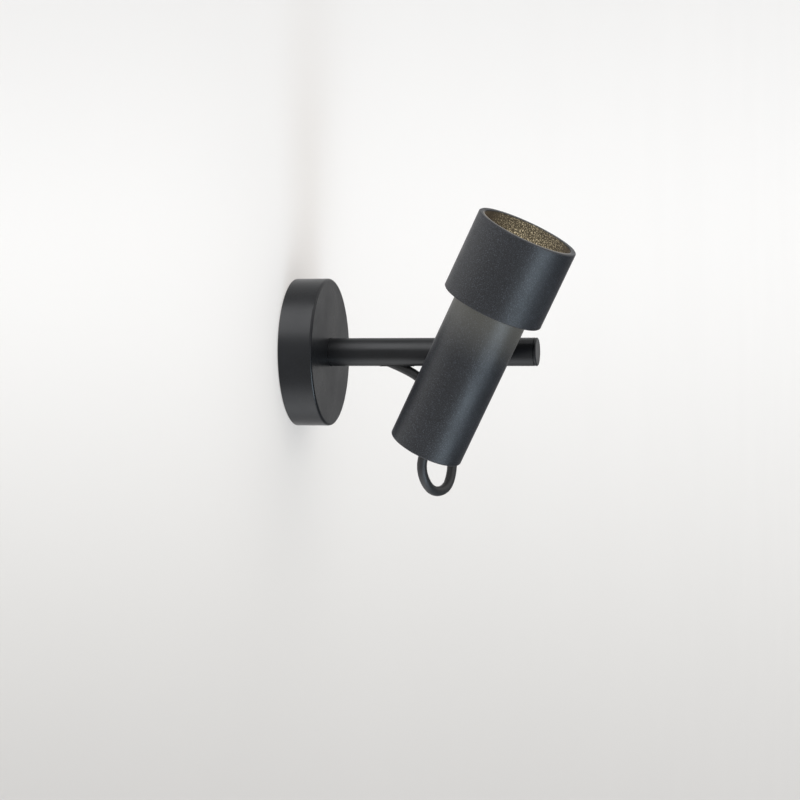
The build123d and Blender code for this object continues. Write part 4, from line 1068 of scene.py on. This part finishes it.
ahead = dot(soft_box, box_in.outputs["Direction"], box_in.outputs["Centre"])
front_side = add(soft_box, "ShaderNodeMath", operation="GREATER_THAN")
feed(soft_box, front_side, {0: ahead, 1: 0.0})
box_light = multiply(soft_box, box_light, front_side.outputs[0])
feed(soft_box, box_out, {"Color": scale_vector(soft_box, box_in.outputs["Color"], box_light)})
print("group", soft_box.name, "with", len(soft_box.nodes), "nodes")

# %% [markdown]
# ### The room and its boxes
#
# The room is pale, with one dim corner low behind the light. Of the boxes, a cool one at the lower
# right draws the long highlight down the head, and one high in front of the wall lights the wall.
# One above and one below draw the bright lines along the arm and the rose, and a broad one at the
# left lifts the head's far side. The camera itself could look into the boxes, but it sees a plain
# pale backdrop in their place, as in a studio.

# %% World
ROOM_LIGHT = 0.75
CORNER_LIGHT = 0.15
DIM_CORNER = (0.62, 0.45, -0.65)
CORNER_SPAN = (0.43, 0.95)
BACKDROP = (0.9, 0.9, 0.895, 1)
STUDIO = [
    # centre, along, half width, half length, edge, color, brightness
    ((0.64, -0.44, -0.6), (0.454, 0, 0.891), 0.23, 0.36, 0.13, (0.7, 0.86, 1.0), 7.0),
    ((0.78, 0.0, 0.63), (0, 1, 0), 0.4, 0.5, 0.3, (1.0, 0.98, 0.95), 1.0),
    ((-0.24, -0.47, 0.85), (1, 0, 0), 0.4, 0.4, 0.12, (0.97, 0.98, 1.0), 3.4),
    ((-0.23, -0.25, -0.94), (1, 0, 0), 0.4, 0.4, 0.25, (0.95, 0.97, 1.0), 1.5),
    ((-0.95, -0.1, 0.17), (0, 0, 1), 0.4, 0.5, 0.3, (0.97, 0.98, 1.0), 0.85),
]
world = bpy.data.worlds.new("studio")
scene.world = world
world.use_nodes = True
sky = world.node_tree
direction = add(sky, "ShaderNodeTexCoord").outputs["Generated"]
toward_corner = dot(sky, direction, Vector(DIM_CORNER).normalized())
glow = ramp(sky, toward_corner, *CORNER_SPAN, ROOM_LIGHT, CORNER_LIGHT, kind="SMOOTHSTEP")
for centre, along, half_width, half_length, edge, color, brightness in STUDIO:
    middle = Vector(centre).normalized()
    across = middle.cross(Vector(along)).normalized()
    placed = place_group(sky, soft_box, {
        "Direction": direction,
        "Centre": middle,
        "Across": across,
        "Along": across.cross(middle),
        "Half Width": half_width,
        "Half Length": half_length,
        "Edge": edge,
        "Color": (*color, 1),
        "Brightness": brightness,
    })
    total = add(sky, "ShaderNodeVectorMath", operation="ADD")
    feed(sky, total, {0: placed.outputs["Color"], 1: glow})
    glow = total.outputs[0]
studio_light = sky.nodes["Background"]
backdrop = add(sky, "ShaderNodeBackground")
feed(sky, studio_light, {"Color": glow})
feed(sky, backdrop, {"Color": BACKDROP})
rays = add(sky, "ShaderNodeLightPath")
seen = add(sky, "ShaderNodeMath", operation="MAXIMUM")
feed(sky, seen, {0: rays.outputs["Is Camera Ray"], 1: rays.outputs["Is Transmission Ray"]})
which = add(sky, "ShaderNodeMixShader")
feed(sky, which, {0: seen.outputs[0], 1: studio_light.outputs[0], 2: backdrop.outputs[0]})
feed(sky, sky.nodes["World Output"], {"Surface": which.outputs[0]})
print("world with", len(STUDIO), "soft boxes")

# %% [markdown]
# ## Close
#
# Standard view keeps each colour as it was written.

# %% Colour view
scene.view_settings.view_transform = "Standard"
